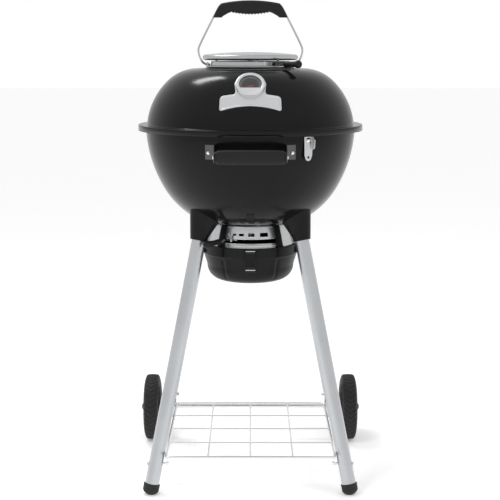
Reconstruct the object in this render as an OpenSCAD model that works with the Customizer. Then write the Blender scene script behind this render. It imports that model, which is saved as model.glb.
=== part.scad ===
// Kettle charcoal grill on four tubular legs, with a lift-off lid, an ash bucket and two wheels.
// Millimetres. +Z is up, -Y is the front. The kettle's own axis stands at y = axis_y, so that the
// origin is at the centre of the whole object's footprint, on the ground.

/* [Bowl] */
// Outer radius of the bowl's wall at its rim
bowl_r = 270.6; // [240:0.1:285]
// Height of the top of the bowl's rim bead above the ground
rim_z = 919; // [860:1:980]
// Radii of the bowl's wall, haunch and knuckle arcs
bowl_radii = [331, 222, 115]; // [80:1:400]
// Slopes at the rim and where each arc ends, in degrees from the vertical
bowl_slopes = [1.5, 30.2, 52, 90]; // [0:0.1:90]
// Thickness of the enamelled sheet
sheet_t = 2; // [1.2:0.1:3]
// Radius of the rolled bead on the bowl's rim
bead_r = 6; // [4:0.5:7]
// Number of ash slots in the bowl's floor
ash_slots = 3; // [2:1:3]
// Inner and outer radius of the ash slots
ash_slot_r = [32, 84]; // [20:1:95]
// Half width of an ash slot, in degrees
ash_slot_half = 25; // [15:1:27]

/* [Lid] */
// Outer radius of the lid's wall where it leaves the rim ledge
lid_r = 267.9; // [235:0.1:284]
// Radii of the lid's wall and shoulder arcs
lid_radii = [178.5, 112]; // [90:0.5:220]
// Slopes at the ledge, at the shoulder and at the crown, in degrees from the vertical
lid_slopes = [5.2, 46.8, 86]; // [2:0.1:88]
// Outer radius of the lid's rim lip
lip_r = 290; // [275:1:300]
// Height of the lid's rim lip
lip_h = 14.7; // [10:0.1:20]
// Play between the lid and the bowl's bead
lid_play = 0.3; // [0.2:0.1:1]

/* [Top vent] */
// Outer radius of the vent collar
collar_r = 101.8; // [90:0.1:110]
// Height of the collar's top above the lid's crown
collar_h = 13.6; // [12:0.1:20]
// Radius of the vent cap over its rolled rim
cap_r = 122.8; // [112:0.1:130]
// Radius of the cap's rolled rim section
cap_bead = 7; // [5:0.5:8]
// Gap between the collar's top and the cap's rim
cap_gap = 2.5; // [1.5:0.1:6]
// Rise of the cap's domed top above its rim
cap_dome = 6.4; // [4:0.1:12]
// Radius of the rotating damper disc
damper_r = 86; // [80:1:90]
// Direction of the damper lever, in degrees right of the front
damper_az = 38; // [35:1:45]
// Travel of the damper lever, in degrees
damper_travel = 40; // [30:1:40]
// Radius at which the damper lever's ball end is centred
damper_reach = 190; // [175:1:200]
// Radius of the lever grips
lever_grip_r = 7.5; // [6:0.5:9]

/* [Lid bail] */
// Wire radius of the bail
bail_wire_r = 2.5; // [2:0.1:3]
// Half span of the bail at its widest
bail_span = 135; // [130:1:145]
// Height of the grip's top above the bail's pivots
bail_h = 162; // [145:1:180]
// Half width of the grip along its top and along its bottom
bail_grip_half = [76.3, 95.6]; // [70:0.1:100]
// Depth of the grip from its top to its feet
bail_grip_h = 43.7; // [38:0.1:50]
// Thickness of the grip from front to rear
bail_grip_t = 25; // [20:1:30]
// Number of finger ribs under the grip
bail_ribs = 13; // [7:2:15]

/* [Thermometer and badge] */
// Slope of the lid's wall at the thermometer, in degrees above the horizontal
gauge_slope = 43; // [35:0.5:46]
// Outer radius of the thermometer's bezel
gauge_r = 36; // [30:0.5:40]
// Height of the bezel's face above the lid
gauge_h = 9.5; // [8:0.5:12]
// Length of the thermometer's probe inside the lid
probe_len = 60; // [40:1:90]
// Resting angle of the pointer, counter-clockwise from the dial's right
pointer_rest = 198; // [180:1:210]
// Half width of the badge plate
badge_half = 75; // [60:1:85]
// Distance down the slope from the dial's centre to the badge's top and bottom edges
badge_rows = [27, 61]; // [25:1:65]
// Thickness of the badge plate
badge_t = 2.5; // [1.5:0.1:3]

/* [Front handle] */
// Half length of the front grip
grip_half = 85; // [75:1:95]
// Depth and height of the front grip's section
grip_section = [26, 35]; // [22:1:38]
// Clear finger space between the grip and the bowl
finger_gap = 44; // [40:1:55]
// Height of the grip's centre below the bowl's rim
grip_drop = 57; // [50:1:65]
// Thickness of the handle's bracket plates
bracket_t = 2; // [1.5:0.1:3]

/* [Opener plate] */
// Direction of the opener plate, in degrees right of the front
opener_az = 31; // [31:1:45]
// Length of the opener plate
opener_len = 59; // [50:1:65]
// Width of the opener plate
opener_w = 24; // [20:1:28]
// Thickness of the opener plate
opener_t = 1.8; // [1.5:0.1:2.5]

/* [Vent housing and bucket] */
// Gap between the bowl's floor and the housing's flange
housing_gap = 4.5; // [4:0.5:8]
// Outer radii of the housing at its flange and at its hem
housing_r = [104, 118]; // [95:0.5:122]
// Height of the housing from its flange to its visible hem
housing_h = 54; // [50:1:60]
// Thickness of the housing's sheet
housing_t = 1.5; // [1.2:0.1:2]
// Distance from the flange to the middle of the lever groove
groove_drop = 37.5; // [35:0.5:39]
// Height of the lever groove
groove_h = 10; // [9:0.5:11]
// Direction of the two straps, in degrees either side of the front
strap_az = 39; // [38:0.5:41]
// Width of a strap
strap_w = 19; // [15:1:20]
// Outer radius of the bucket's rim band
bucket_r = 124; // [122:0.5:130]
// Height of the bucket's rim band
bucket_band = 27; // [24:1:30]
// Overall height of the ash bucket
bucket_h = 98; // [80:1:120]
// Thickness of the bucket's sheet
bucket_t = 1.2; // [1:0.1:2]
// Radius of the knuckle between the bucket's wall and floor
bucket_knuckle = 30; // [20:1:40]

/* [Ash sweep] */
// Direction of the ash lever, in degrees right of the front
sweep_az = -35; // [-35:1:-33]
// Travel of the ash lever, in degrees
sweep_travel = 55; // [45:1:55]
// Radius at which the ash lever's ball end is centred
sweep_reach = 190; // [180:1:200]
// Angle from the lever to the air pointer, in degrees
pointer_lead = 10; // [8:1:11]
// Radius of the sweep's shaft
shaft_r = 5; // [4:0.5:6]

/* [Legs] */
// Outer radius of the leg tubes
leg_r = 18; // [16:0.5:20]
// Wall of the leg tubes
leg_wall = 1.5; // [1.2:0.1:2]
// Distance of each foot from the centre plane
foot_x = 254.5; // [245:0.5:265]
// Distance of the front feet ahead of the kettle's axis
foot_front = 232; // [220:1:245]
// Distance behind the kettle's axis where the rear legs point at the ground
foot_rear = 242; // [232:1:250]
// Distance of the legs' top ends from the kettle's axis, sideways and front to rear
leg_top = [120, 110]; // [105:1:125]
// Height of the point that the legs' top ends aim at, below the bowl's rim
leg_top_drop = 229; // [220:1:235]
// Wall of the sockets around the legs
socket_wall = 3.5; // [3:0.5:5]
// Thickness of the sockets' saddle flanges
saddle_t = 4.5; // [3:0.5:6]
// Length of the rubber feet along the legs
foot_len = 34; // [28:1:40]

/* [Wheels] */
// Radius of the wheels
wheel_r = 93; // [89:1:100]
// Width of the tyres
tyre_w = 43; // [36:1:46]
// Radius of the axle
axle_r = 5; // [4:0.5:6]
// Gap between a rear leg and its wheel
wheel_gap = 5; // [3:0.5:8]

/* [Rack and grates] */
// Half width of the wire rack
rack_half = 212; // [200:1:213]
// Distance of the rack's front edge ahead of the kettle's axis
rack_front = 246; // [240:1:260]
// Radius of the rack's frame wire
rack_frame_r = 3.5; // [2.5:0.5:4]
// Radius of the rack's inner wires
rack_wire_r = 2.4; // [2:0.1:3]
// Number of cells each way
rack_cells = 4; // [3:1:6]
// Radius of the cooking grate
cook_r = 260; // [235:1:262]
// Depth of the cooking grate below the rim
cook_drop = 28; // [24:1:34]
// Radius of the charcoal grate
coal_r = 205; // [180:1:210]
// Depth of the charcoal grate below the rim
coal_drop = 170; // [150:1:175]
// Wire radius of both grates
grate_wire_r = 3; // [2.5:0.1:3.5]
// Spacing of the grates' bars
grate_pitch = 20; // [15:1:30]

/* [Hidden] */

$fn = 64;
shell_fn = 180;
arc_steps = 7;
far = 400;
fit = 0.3;
slip = 0.2;
running = 0.08;

// The arcs of a dished wall: radii and slopes give tangent arcs from the rim inwards, as points
// [radius, distance from the rim]. A positive inset moves the wall towards its centre.
function arc_centre(p, r, a) = [p[0] - r * cos(a), p[1] - r * sin(a)];
function arc_point(c, r, a) = [c[0] + r * cos(a), c[1] + r * sin(a)];
function arc_run(c, r, a, b, from) =
    [for (i = [from:arc_steps]) arc_point(c, r, a + (b - a) * i / arc_steps)];
function dish_centres(r0, radii, slopes) =
    let (c0 = arc_centre([r0, 0], radii[0], slopes[0]),
         c1 = arc_centre(arc_point(c0, radii[0], slopes[1]), radii[1], slopes[1]),
         c2 = arc_centre(arc_point(c1, radii[1], slopes[2]), radii[2], slopes[2]))
    [c0, c1, c2];
function dish(r0, radii, slopes, inset) =
    let (c = dish_centres(r0, radii, slopes))
    concat(arc_run(c[0], radii[0] - inset, slopes[0], slopes[1], 0),
           arc_run(c[1], radii[1] - inset, slopes[1], slopes[2], 1),
           arc_run(c[2], radii[2] - inset, slopes[2], slopes[3], 1));
function reversed(p) = [for (i = [len(p) - 1:-1:0]) p[i]];
function rounded(w, h, r, n = 6) = [for (q = [0:3], i = [0:n])
    let (a = 90 * q + 90 * i / n, sx = (q == 0 || q == 3) ? 1 : -1, sy = q < 2 ? 1 : -1)
    [sx * (w / 2 - r) + r * cos(a), sy * (h / 2 - r) + r * sin(a)]];

// Bowl levels
wall_z = rim_z - bead_r / 2;
bowl_c = dish_centres(bowl_r, bowl_radii, bowl_slopes);
floor_z = wall_z - (bowl_c[2][1] + bowl_radii[2]);
function bowl_out(z) = bowl_c[0][0] + sqrt(pow(bowl_radii[0], 2) - pow(wall_z - z - bowl_c[0][1], 2));

// Grate shelves
shelf_w = 22;
shelf_web = 16;

// Lid levels
ledge_z = rim_z + lid_play;
lid_c01 = dish_centres(lid_r, [lid_radii[0], lid_radii[1], 1], [lid_slopes[0], lid_slopes[1], 90]);
crown_edge = arc_point(lid_c01[1], lid_radii[1], lid_slopes[2]);
crown_r = crown_edge[0] / cos(lid_slopes[2]);
lid_all_radii = [lid_radii[0], lid_radii[1], crown_r];
lid_all_slopes = [lid_slopes[0], lid_slopes[1], lid_slopes[2], 90];
crown_z = ledge_z + crown_edge[1] + crown_r * (1 - sin(lid_slopes[2]));

// Top vent levels
collar_top = crown_z + collar_h;
cap_low = collar_top + cap_gap;
cap_rim_r = cap_r - cap_bead;
cap_top = cap_low + 2 * cap_bead + cap_dome;
cap_sheet = 1.5;
cap_sphere = (cap_rim_r * cap_rim_r + cap_dome * cap_dome) / (2 * cap_dome);
lever_rod_r = 2.8;
damper_z = crown_z + 0.6;
damper_t = 1.5;
lever_z = crown_z + 7.4;
post_r = 94;
stud_r = 6;

// Lid bail levels
pivot_x = 110;
pivot_z = crown_z + 5;
bail_wide_z = 27;
bail_feet_z = bail_h - bail_grip_h;

// Thermometer placing: the dial's frame has x to the right, y up the slope and z out of the lid
gauge_at = arc_point(lid_c01[0], lid_radii[0], gauge_slope);
gauge_floor = 3;
dial_t = 1;
glass_t = 1;
window_r = 25;
window_flat = 14;
stem_r = 3;
pin_r = 1;
pointer_y = -5;

// Housing levels
flange_z = floor_z - housing_gap;
hem_z = flange_z - housing_h;
groove_z = flange_z - groove_drop;
housing_slope = (housing_r[1] - housing_r[0]) / housing_h;
function housing_out(z) = housing_r[0] + (flange_z - z) * housing_slope;
tuck = 8;
bucket_floor = hem_z - bucket_h;
band_low = hem_z - bucket_band;
clip_az = 78;
clip_pin = [bucket_r + 6, hem_z - 20];
clip_w = 14;
clip_bar_r = housing_r[1] + 2.8;
ledge = flange_z - 28;
latch_w = 28;
latch_pin = [bucket_r + 4.5, hem_z - 10];
hinge_pin_r = 1.5;

// Leg lines, from the ground point of each leg to its aim point under the bowl
aim_z = rim_z - leg_top_drop;
axle_z = wheel_r;
leg_share = axle_z / aim_z;
axle_at = foot_rear + (leg_top[1] - foot_rear) * leg_share;
leg_at_axle = foot_x + (leg_top[0] - foot_x) * leg_share;
wheel_x = leg_at_axle + leg_r * 1.05 + wheel_gap + tyre_w / 2;
hub_len = tyre_w + 4;
cap_len = 8;
leg_end = 70;
socket_low = aim_z - 57;

// Footprint: the front grip reaches furthest forward and the tyres furthest back
grip_y = -(bowl_out(rim_z - grip_drop) + finger_gap + grip_section[0] / 2);
front_reach = grip_y - grip_section[0] / 2;
rear_reach = axle_at + wheel_r;
axis_y = -(front_reach + rear_reach) / 2;

// Rack levels
rack_z = axle_z + axle_r + slip + rack_frame_r;
rack_bolt_r = 3;

// Placing helpers
module at_axis() translate([0, axis_y, 0]) children();
module facing(az, r = 0) rotate([0, 0, az]) translate([0, -r, 0]) children();
module arc_slab(az, width) rotate([0, 0, az - 90 - width / 2]) rotate_extrude(angle = width) children();
module wedge(az, half, z, h) rotate([0, 0, az]) translate([0, 0, z]) linear_extrude(h)
    polygon([[0, 0], [-far * tan(half), -far], [far * tan(half), -far]]);
module ring(r_out, r_in, z, h) difference() {
    translate([0, 0, z]) cylinder(r = r_out, h = h);
    translate([0, 0, z - 1]) cylinder(r = r_in, h = h + 2);
}
module along(p, q, r) {
    v = q - p;
    turn = atan2(v[1], v[0]);
    tip = acos(v[2] / norm(v));
    translate(p) rotate([0, tip, turn]) cylinder(r = r, h = norm(v));
}
module chain(points, r) {
    for (i = [0:len(points) - 2]) along(points[i], points[i + 1], r);
    for (i = [1:len(points) - 2]) translate(points[i]) sphere(r = r * 1.04);
}
module dome_head(r, h) intersection() {
    translate([0, 0, h - (r * r + h * h) / (2 * h)]) sphere(r = (r * r + h * h) / (2 * h));
    cylinder(r = r + 1, h = h + 1);
}
module on_leg(sx, sy, s = 0) {
    ground = sy < 0 ? foot_front : foot_rear;
    foot = [sx * foot_x, sy * ground, 0];
    v = [sx * leg_top[0], sy * leg_top[1], aim_z] - foot;
    translate(foot) rotate([0, acos(v[2] / norm(v)), atan2(v[1], v[0])]) translate([0, 0, s]) children();
}
module on_gauge(z = 0) translate([0, -gauge_at[0], ledge_z + gauge_at[1]])
    rotate([90 - gauge_slope, 0, 0]) translate([0, 0, z]) children();

// Solids and skins of the two enamelled shells, used to build and to cope what seats on them
function bowl_line(inset) = [for (p = dish(bowl_r, bowl_radii, bowl_slopes, inset)) [p[0], wall_z - p[1]]];
function lid_line(inset) = [for (p = dish(lid_r, lid_all_radii, lid_all_slopes, inset)) [p[0],
    ledge_z + p[1]]];
module bowl_skin(inset_a, inset_b) rotate_extrude($fn = shell_fn) polygon(concat(
    bowl_line(inset_a), [[0, floor_z + inset_a], [0, floor_z + inset_b]], reversed(bowl_line(inset_b))));
module bowl_solid(inset = 0) rotate_extrude($fn = shell_fn) polygon(concat(
    [[0, rim_z + 50], [bowl_r, rim_z + 50]], bowl_line(inset), [[0, floor_z + inset]]));
module lid_skin(inset_a, inset_b) rotate_extrude($fn = shell_fn) polygon(concat(
    lid_line(inset_a), reversed(lid_line(inset_b))));
module lid_solid(inset = 0) rotate_extrude($fn = shell_fn) polygon(concat([[0, ledge_z]], lid_line(inset)));

// ---- Bowl ----
module bowl() color([0.05, 0.05, 0.055]) at_axis() difference() {
    union() {
        bowl_skin(0, sheet_t);
        rotate_extrude() translate([bowl_r + bead_r / 2, rim_z - bead_r]) circle(r = bead_r);
    }
    for (i = [0:ash_slots - 1]) intersection() {
        wedge(i * 360 / ash_slots + 60, ash_slot_half, floor_z - 5, 15);
        ring(ash_slot_r[1], ash_slot_r[0], floor_z - 5, 15);
    }
    translate([0, 0, floor_z - 5]) cylinder(r = shaft_r + running, h = 15);
}

// Four pairs of welded brackets: a shelf plate on a web, for the cooking grate and the charcoal grate
module grate_supports() color("gray") at_axis() for (az = [45:90:315]) {
    shelf(az, rim_z - cook_drop - grate_wire_r - slip, cook_r - 7);
    shelf(az, rim_z - coal_drop - grate_wire_r - slip, coal_r - 7);
}
module shelf(az, z, r_in) intersection() {
    facing(az) union() {
        translate([-shelf_w / 2, -far, z - sheet_t]) cube([shelf_w, far - r_in, sheet_t]);
        translate([-sheet_t / 2, 0, 0]) rotate([90, 0, 90]) linear_extrude(sheet_t) polygon([
            [-r_in - 4, z - 0.5], [-far, z - 0.5], [-far, z - shelf_web], [-r_in - shelf_web,
                z - shelf_web]]);
    }
    bowl_solid(sheet_t);
}

// ---- Vent housing under the bowl ----
module vent_housing() color("silver") at_axis() difference() {
    rotate_extrude() polygon([
        [housing_r[0], flange_z], [housing_r[1], hem_z], [housing_r[1], hem_z - tuck],
        [housing_r[1] - housing_t, hem_z - tuck], [housing_r[1] - housing_t, hem_z],
        [housing_r[0] - housing_t, flange_z - housing_t], [ash_slot_r[1] + 6, flange_z - housing_t],
        [ash_slot_r[1] + 6, flange_z]]);
    wedge(0, strap_az - 2, groove_z - groove_h / 2, groove_h);
    // Air openings that grow from left to right across the front
    for (i = [0:4]) {
        w = 4.3 + 3.85 * i;
        h = 3.2 + 1.75 * i;
        translate([-51 + 10.5 * i + 3.65 * i * (i - 1) - w / 2, -far, flange_z - 21 - h / 2]) cube([w,
            far, h]);
    }
    // Three plain air windows round the rear
    for (az = [130:50:230]) wedge(az, 14, flange_z - 27, 12);
    // Slots in the flange
    for (az = [-24:16:24]) intersection() {
        wedge(az, 4.5, flange_z - 5, 10);
        ring(housing_r[0] - 4, housing_r[0] - 8, flange_z - 5, 10);
    }
}

// Three struts that carry the housing under the bowl
module housing_struts() color([0.06, 0.06, 0.06]) at_axis() for (az = [0:120:240]) difference() {
    facing(az) translate([-6, -housing_r[0], flange_z]) union() {
        cube([12, 10, 70]);
        reach = az == 0 ? 84 : 48;
        translate([-3.5, -reach, 24]) cube([19, reach + 10, 46]);
    }
    bowl_solid();
    difference() {
        translate([0, 0, flange_z - 1]) cylinder(r = far, h = 90);
        bowl_solid(-3);
        translate([0, 0, flange_z - 2]) cylinder(r = housing_r[0], h = 20);
    }
}

// Two black straps over the housing, whose lower ends guide the bucket's rim
module housing_straps() color([0.05, 0.05, 0.05]) at_axis() difference() {
    out = bucket_r + fit;
    for (side = [-1, 1]) arc_slab(side * strap_az, strap_w / housing_r[1] * 180 / PI) polygon([
        [ash_slot_r[1] + 6, flange_z], [ash_slot_r[1] + 6, flange_z + 2], [housing_r[0] + 2.5,
            flange_z + 2],
        [housing_r[1] + 2.5, hem_z + 3], [out + 2.5, hem_z + 1], [out + 2.5, band_low + 2],
        [out, band_low + 2], [out, hem_z + 0.5], [housing_out(hem_z + 1), hem_z + 1],
        [housing_r[0], flange_z]]);
    // Notch for the air lever, over its whole travel
    wedge(sweep_az + sweep_travel / 2, sweep_travel / 2 + 2.6, groove_z - lever_rod_r - 0.6,
        2 * lever_rod_r + 1.2);
}

// Sheet side panels that the bucket's clips hook onto
module side_panel(side) color("silver") at_axis() {
    first = strap_az + 6;
    last = 92;
    mid = side * (first + last) / 2;
    arc_slab(mid, last - first) polygon([
        [housing_out(flange_z - 2), flange_z - 2], [housing_out(flange_z - 2) + 1.5, flange_z - 2],
        [housing_r[1] + 1.5, hem_z + 1], [housing_r[1], hem_z + 1]]);
    arc_slab(side * clip_az, 3.2) polygon([
        [housing_out(ledge) + 1, ledge + 1], [clip_bar_r + 1, ledge + 1],
        [clip_bar_r + 1, ledge - 1], [housing_out(ledge) + 1, ledge - 3]]);
}
module side_panel_left() side_panel(-1);
module side_panel_right() side_panel(1);

// ---- Sockets, legs and feet ----
module socket(sx, sy) color([0.05, 0.05, 0.05]) at_axis() {
    az = sx * (sy < 0 ? 1 : -1) * atan(leg_top[0] / leg_top[1]) + (sy < 0 ? 0 : 180);
    difference() {
        union() {
            on_leg(sx, sy, socket_low * leg_slant(sy)) cylinder(r = leg_r + socket_wall, h = 150);
            intersection() {
                bowl_skin(-saddle_t, 3);
                wedge(az, 25, floor_z - 50, 150);
                ring(207, 160, floor_z - 50, 150);
            }
        }
        on_leg(sx, sy, -10) cylinder(r = leg_r, h = leg_top_s(sy) + 10);
        bowl_solid();
    }
}
function leg_slant(sy) = norm([leg_top[0] - foot_x, leg_top[1] - (sy < 0 ? foot_front : foot_rear),
    aim_z]) / aim_z;
function leg_top_s(sy) = (aim_z - 32) * leg_slant(sy);
module socket_front_left() socket(-1, -1);
module socket_front_right() socket(1, -1);
module socket_rear_left() socket(-1, 1);
module socket_rear_right() socket(1, 1);

module leg(sx, sy) color([0.78, 0.79, 0.8]) at_axis() difference() {
    start = sy < 0 ? 16 : leg_end * leg_slant(sy);
    on_leg(sx, sy, start) difference() {
        cylinder(r = leg_r, h = leg_top_s(sy) - start);
        translate([0, 0, -1]) cylinder(r = leg_r - leg_wall, h = leg_top_s(sy));
    }
    rack_screw_hole(sx, sy);
    if (sy > 0) translate([0, axle_at, axle_z]) rotate([0, 90, 0]) cylinder(r = axle_r, h = 2 * far,
        center = true);
}
module leg_front_left() leg(-1, -1);
module leg_front_right() leg(1, -1);
module leg_rear_left() leg(-1, 1);
module leg_rear_right() leg(1, 1);

module foot(sx) color([0.04, 0.04, 0.04]) at_axis() difference() {
    on_leg(sx, -1) difference() {
        union() {
            translate([0, 0, 9]) cylinder(r = leg_r + 2.3, h = foot_len - 9);
            intersection() {
                translate([0, 0, 22]) sphere(r = 24);
                translate([0, 0, -10]) cylinder(r = 40, h = 20);
            }
        }
        translate([0, 0, 16]) cylinder(r = leg_r, h = 60);
    }
    translate([-far, -far, -50]) cube([2 * far, 2 * far, 50]);
}
module foot_left() foot(-1);
module foot_right() foot(1);

module end_plug(sx) color([0.04, 0.04, 0.04]) at_axis() on_leg(sx, 1, leg_end * leg_slant(1)) difference() {
    translate([0, 0, -4]) cylinder(r = leg_r - 0.5, h = 4);
    translate([0, 0, -5]) cylinder(r = 6, h = 3);
}
module end_plug_left() end_plug(-1);
module end_plug_right() end_plug(1);

// ---- Axle and wheels ----
module axle() color("silver") at_axis() translate([0, axle_at, axle_z]) {
    half = wheel_x + hub_len / 2 + cap_len - 2;
    rotate([0, 90, 0]) cylinder(r = axle_r, h = 2 * half, center = true);
    for (s = [-1, 1]) rotate([0, s * 90, 0]) translate([0, 0, wheel_x - hub_len / 2 - 2.5])
        cylinder(r = 9, h = 2.2);
}
module axle_caps() color([0.04, 0.04, 0.04]) at_axis() translate([0, axle_at, axle_z])
    for (s = [-1, 1]) rotate([0, s * 90, 0]) translate([0, 0, wheel_x + hub_len / 2 + fit]) difference() {
        dome_head(13, cap_len);
        translate([0, 0, -1]) cylinder(r = axle_r, h = cap_len - 1 - fit);
    }
module tyre(s) color([0.06, 0.06, 0.06]) on_wheel(s) rotate_extrude() difference() {
    intersection() {
        translate([0, -tyre_w / 2]) square([wheel_r, tyre_w]);
        translate([wheel_r - 62, 0]) circle(r = 62);
        translate([wheel_r - 32, 0]) circle(r = 32);
    }
    translate([0, -tyre_w]) square([wheel_r - 30, 2 * tyre_w]);
}
module on_wheel(s) at_axis() translate([s * wheel_x, axle_at, axle_z]) rotate([0, s * 90, 0]) children();
module wheel(s) color([0.1, 0.1, 0.1]) on_wheel(s) difference() {
    union() {
        rotate_extrude() translate([wheel_r - 38, -15]) square([8, 30]);
        translate([0, 0, -4]) cylinder(r = wheel_r - 34, h = 8);
        translate([0, 0, -hub_len / 2]) cylinder(r = 16, h = hub_len);
        for (a = [0:60:300]) rotate([0, 0, a]) translate([12, -2.5, -12]) cube([wheel_r - 48, 5, 24]);
    }
    translate([0, 0, -hub_len]) cylinder(r = axle_r + running, h = 2 * hub_len);
    for (a = [30:60:330]) rotate([0, 0, a]) translate([35, 0, -10]) cylinder(r = 9, h = 20);
}
module tyre_left() tyre(-1);
module tyre_right() tyre(1);
module wheel_left() wheel(-1);
module wheel_right() wheel(1);

// ---- Wire rack ----
function leg_y_at(sy, z) = sy * ((sy < 0 ? foot_front : foot_rear)
    + (leg_top[1] - (sy < 0 ? foot_front : foot_rear)) * z / aim_z);
function leg_x_at(z) = foot_x + (leg_top[0] - foot_x) * z / aim_z;
rack_rear = axle_at;
rack_rise = [-25, 30];
rack_nut_back = [5, 7.8];
function rack_screw_z(sy) = rack_z + rack_rise[sy < 0 ? 0 : 1];
module rack_screw_hole(sx, sy) translate([0, leg_y_at(sy, rack_screw_z(sy)), rack_screw_z(sy)])
    rotate([0, sx * 90, 0]) cylinder(r = rack_bolt_r, h = far);
module wire_rack() color("gainsboro") at_axis() {
    cell_x = 2 * rack_half / rack_cells;
    cell_y = (rack_rear + rack_front) / rack_cells;
    corners = [[-rack_half, -rack_front, rack_z], [rack_half, -rack_front, rack_z],
               [rack_half, rack_rear, rack_z], [-rack_half, rack_rear, rack_z]];
    for (i = [0:3]) {
        along(corners[i], corners[(i + 1) % 4], rack_frame_r);
        translate(corners[i]) sphere(r = rack_frame_r * 1.04);
    }
    for (i = [1:rack_cells - 1]) {
        along([-rack_half + i * cell_x, -rack_front, rack_z + 1], [-rack_half + i * cell_x, rack_rear,
            rack_z + 1],
              rack_wire_r);
        along([-rack_half, -rack_front + i * cell_y, rack_z - 1], [rack_half, -rack_front + i * cell_y,
            rack_z - 1],
              rack_wire_r);
    }
    for (sx = [-1, 1], sy = [-1, 1]) rack_tab(sx, sy);
}
module rack_tab(sx, sy) difference() {
    bolt_z = rack_screw_z(sy);
    low = sy < 0 ? bolt_z - 7 : rack_z - 1;
    high = sy < 0 ? rack_z + 2 : bolt_z + 7;
    translate([sx * (rack_half + 1.2) - 1.2, leg_y_at(sy, bolt_z) - 7, low]) cube([2.4, 14, high - low]);
    rack_screw_hole(sx, sy);
    on_leg(sx, sy) cylinder(r = leg_r, h = 300);
}
module rack_screws() color("silver") at_axis() for (sx = [-1, 1], sy = [-1, 1]) {
    z = rack_screw_z(sy);
    head = leg_x_at(z) + leg_r * 1.1;
    nut = rack_half - rack_nut_back[sy < 0 ? 0 : 1];
    translate([0, leg_y_at(sy, z), z]) rotate([0, sx * 90, 0]) {
        translate([0, 0, nut]) cylinder(r = rack_bolt_r, h = head - nut + 0.5);
        translate([0, 0, head]) dome_head(6, 3.5);
        translate([0, 0, nut]) cylinder(r = 5.5, h = 4.8, $fn = 6);
    }
}

// ---- Front handle ----
grip_z = rim_z - grip_drop;
module front_grip() color([0.04, 0.04, 0.04]) at_axis() translate([-grip_half, grip_y, grip_z])
    rotate([90, 0, 90]) difference() {
        linear_extrude(2 * grip_half) polygon(rounded(grip_section[0], grip_section[1], 10));
        for (z = [-1, 2 * grip_half - 15]) translate([0, 0, z]) cylinder(r = 2, h = 16);
    }
module grip_bracket(s) color([0.1, 0.1, 0.1]) at_axis() {
    wall = sqrt(pow(bowl_out(grip_z), 2) - pow(grip_half + bracket_t, 2));
    difference() {
        translate([s * (grip_half + bracket_t / 2) - bracket_t / 2, 0, grip_z]) rotate([90, 0, 90])
            linear_extrude(bracket_t) polygon([
                [-wall + 8, -12], [-wall + 8, 24], [-wall - 20, 24], [grip_y, 14], [grip_y - 12, 8],
                [grip_y - 13, -2], [grip_y - 9, -10], [grip_y, -14], [-wall - 20, -12]]);
        translate([0, grip_y, grip_z]) rotate([0, 90, 0]) cylinder(r = 2, h = 2 * far, center = true);
        bowl_solid();
    }
    difference() {
        intersection() {
            bowl_skin(-bracket_t, 0);
            translate([s * (grip_half + 12) - 12, -far, grip_z - 12]) cube([24, far, 36]);
        }
        translate([s * (grip_half - 1) - 1, -far, grip_z - 20]) cube([2, far, 50]);
        flange_screw(s) cylinder(r = 2, h = 40, center = true);
        flange_screw(s) translate([0, 0, bracket_t]) cylinder(r = 5.3, h = 10);
    }
}
flange_screw_x = grip_half + 16;
module flange_screw(s) {
    az = asin(flange_screw_x / bowl_out(grip_z + 5));
    translate([0, 0, grip_z + 5]) facing(s * az, bowl_out(grip_z + 5)) rotate([90, 0, 0]) children();
}
module grip_bracket_left() grip_bracket(-1);
module grip_bracket_right() grip_bracket(1);
module grip_screws() color("dimgray") at_axis() for (s = [-1, 1]) {
    translate([s * (grip_half + bracket_t), grip_y, grip_z]) rotate([0, s * 90, 0]) {
        dome_head(5, 3);
        translate([0, 0, -bracket_t - 14]) cylinder(r = 2, h = bracket_t + 14.5);
    }
    flange_screw(s) translate([0, 0, bracket_t]) {
        dome_head(5, 3);
        translate([0, 0, -bracket_t + 0.6]) cylinder(r = 2, h = bracket_t);
    }
}

// ---- Opener plate ----
opener_top = rim_z - 14.5;
opener_seat = bowl_out(opener_top) + 0.5;
opener_screw_z = opener_top - 8.5;
module opener_plate() color("silver") at_axis() facing(opener_az, opener_seat) difference() {
    union() {
        translate([0, 0, opener_top - opener_len]) rotate([90, 0, 0]) linear_extrude(opener_t)
            polygon(concat(
            [[-opener_w / 2, opener_len], [-opener_w / 2 + 1, opener_w / 2 + 2]],
            [for (a = [200:20:340]) [8.5 * cos(a), 8.5 + 8.5 * sin(a)]],
            [[opener_w / 2 - 1, opener_w / 2 + 2], [opener_w / 2, opener_len]]));
        translate([opener_w / 2 - opener_t, 0, opener_top - 34]) rotate([90, 0, 90])
            linear_extrude(opener_t)
            polygon([[0, 0], [-12, 6], [-14, 26], [-8, 34], [0, 34]]);
    }
    translate([0, 1, opener_screw_z]) rotate([90, 0, 0]) cylinder(r = 3, h = 10);
    translate([0, 1, opener_top - opener_len + 9]) rotate([90, 0, 0]) cylinder(r = 3, h = 10);
}
module opener_screw() color("silver") at_axis() facing(opener_az, opener_seat) {
    translate([0, -opener_t, opener_screw_z]) rotate([90, 0, 0]) dome_head(6.5, 4);
    difference() {
        translate([0, 3, opener_screw_z]) rotate([90, 0, 0]) cylinder(r = 3, h = opener_t + 3.5);
        facing(0, -opener_seat) bowl_solid();
    }
}

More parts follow.
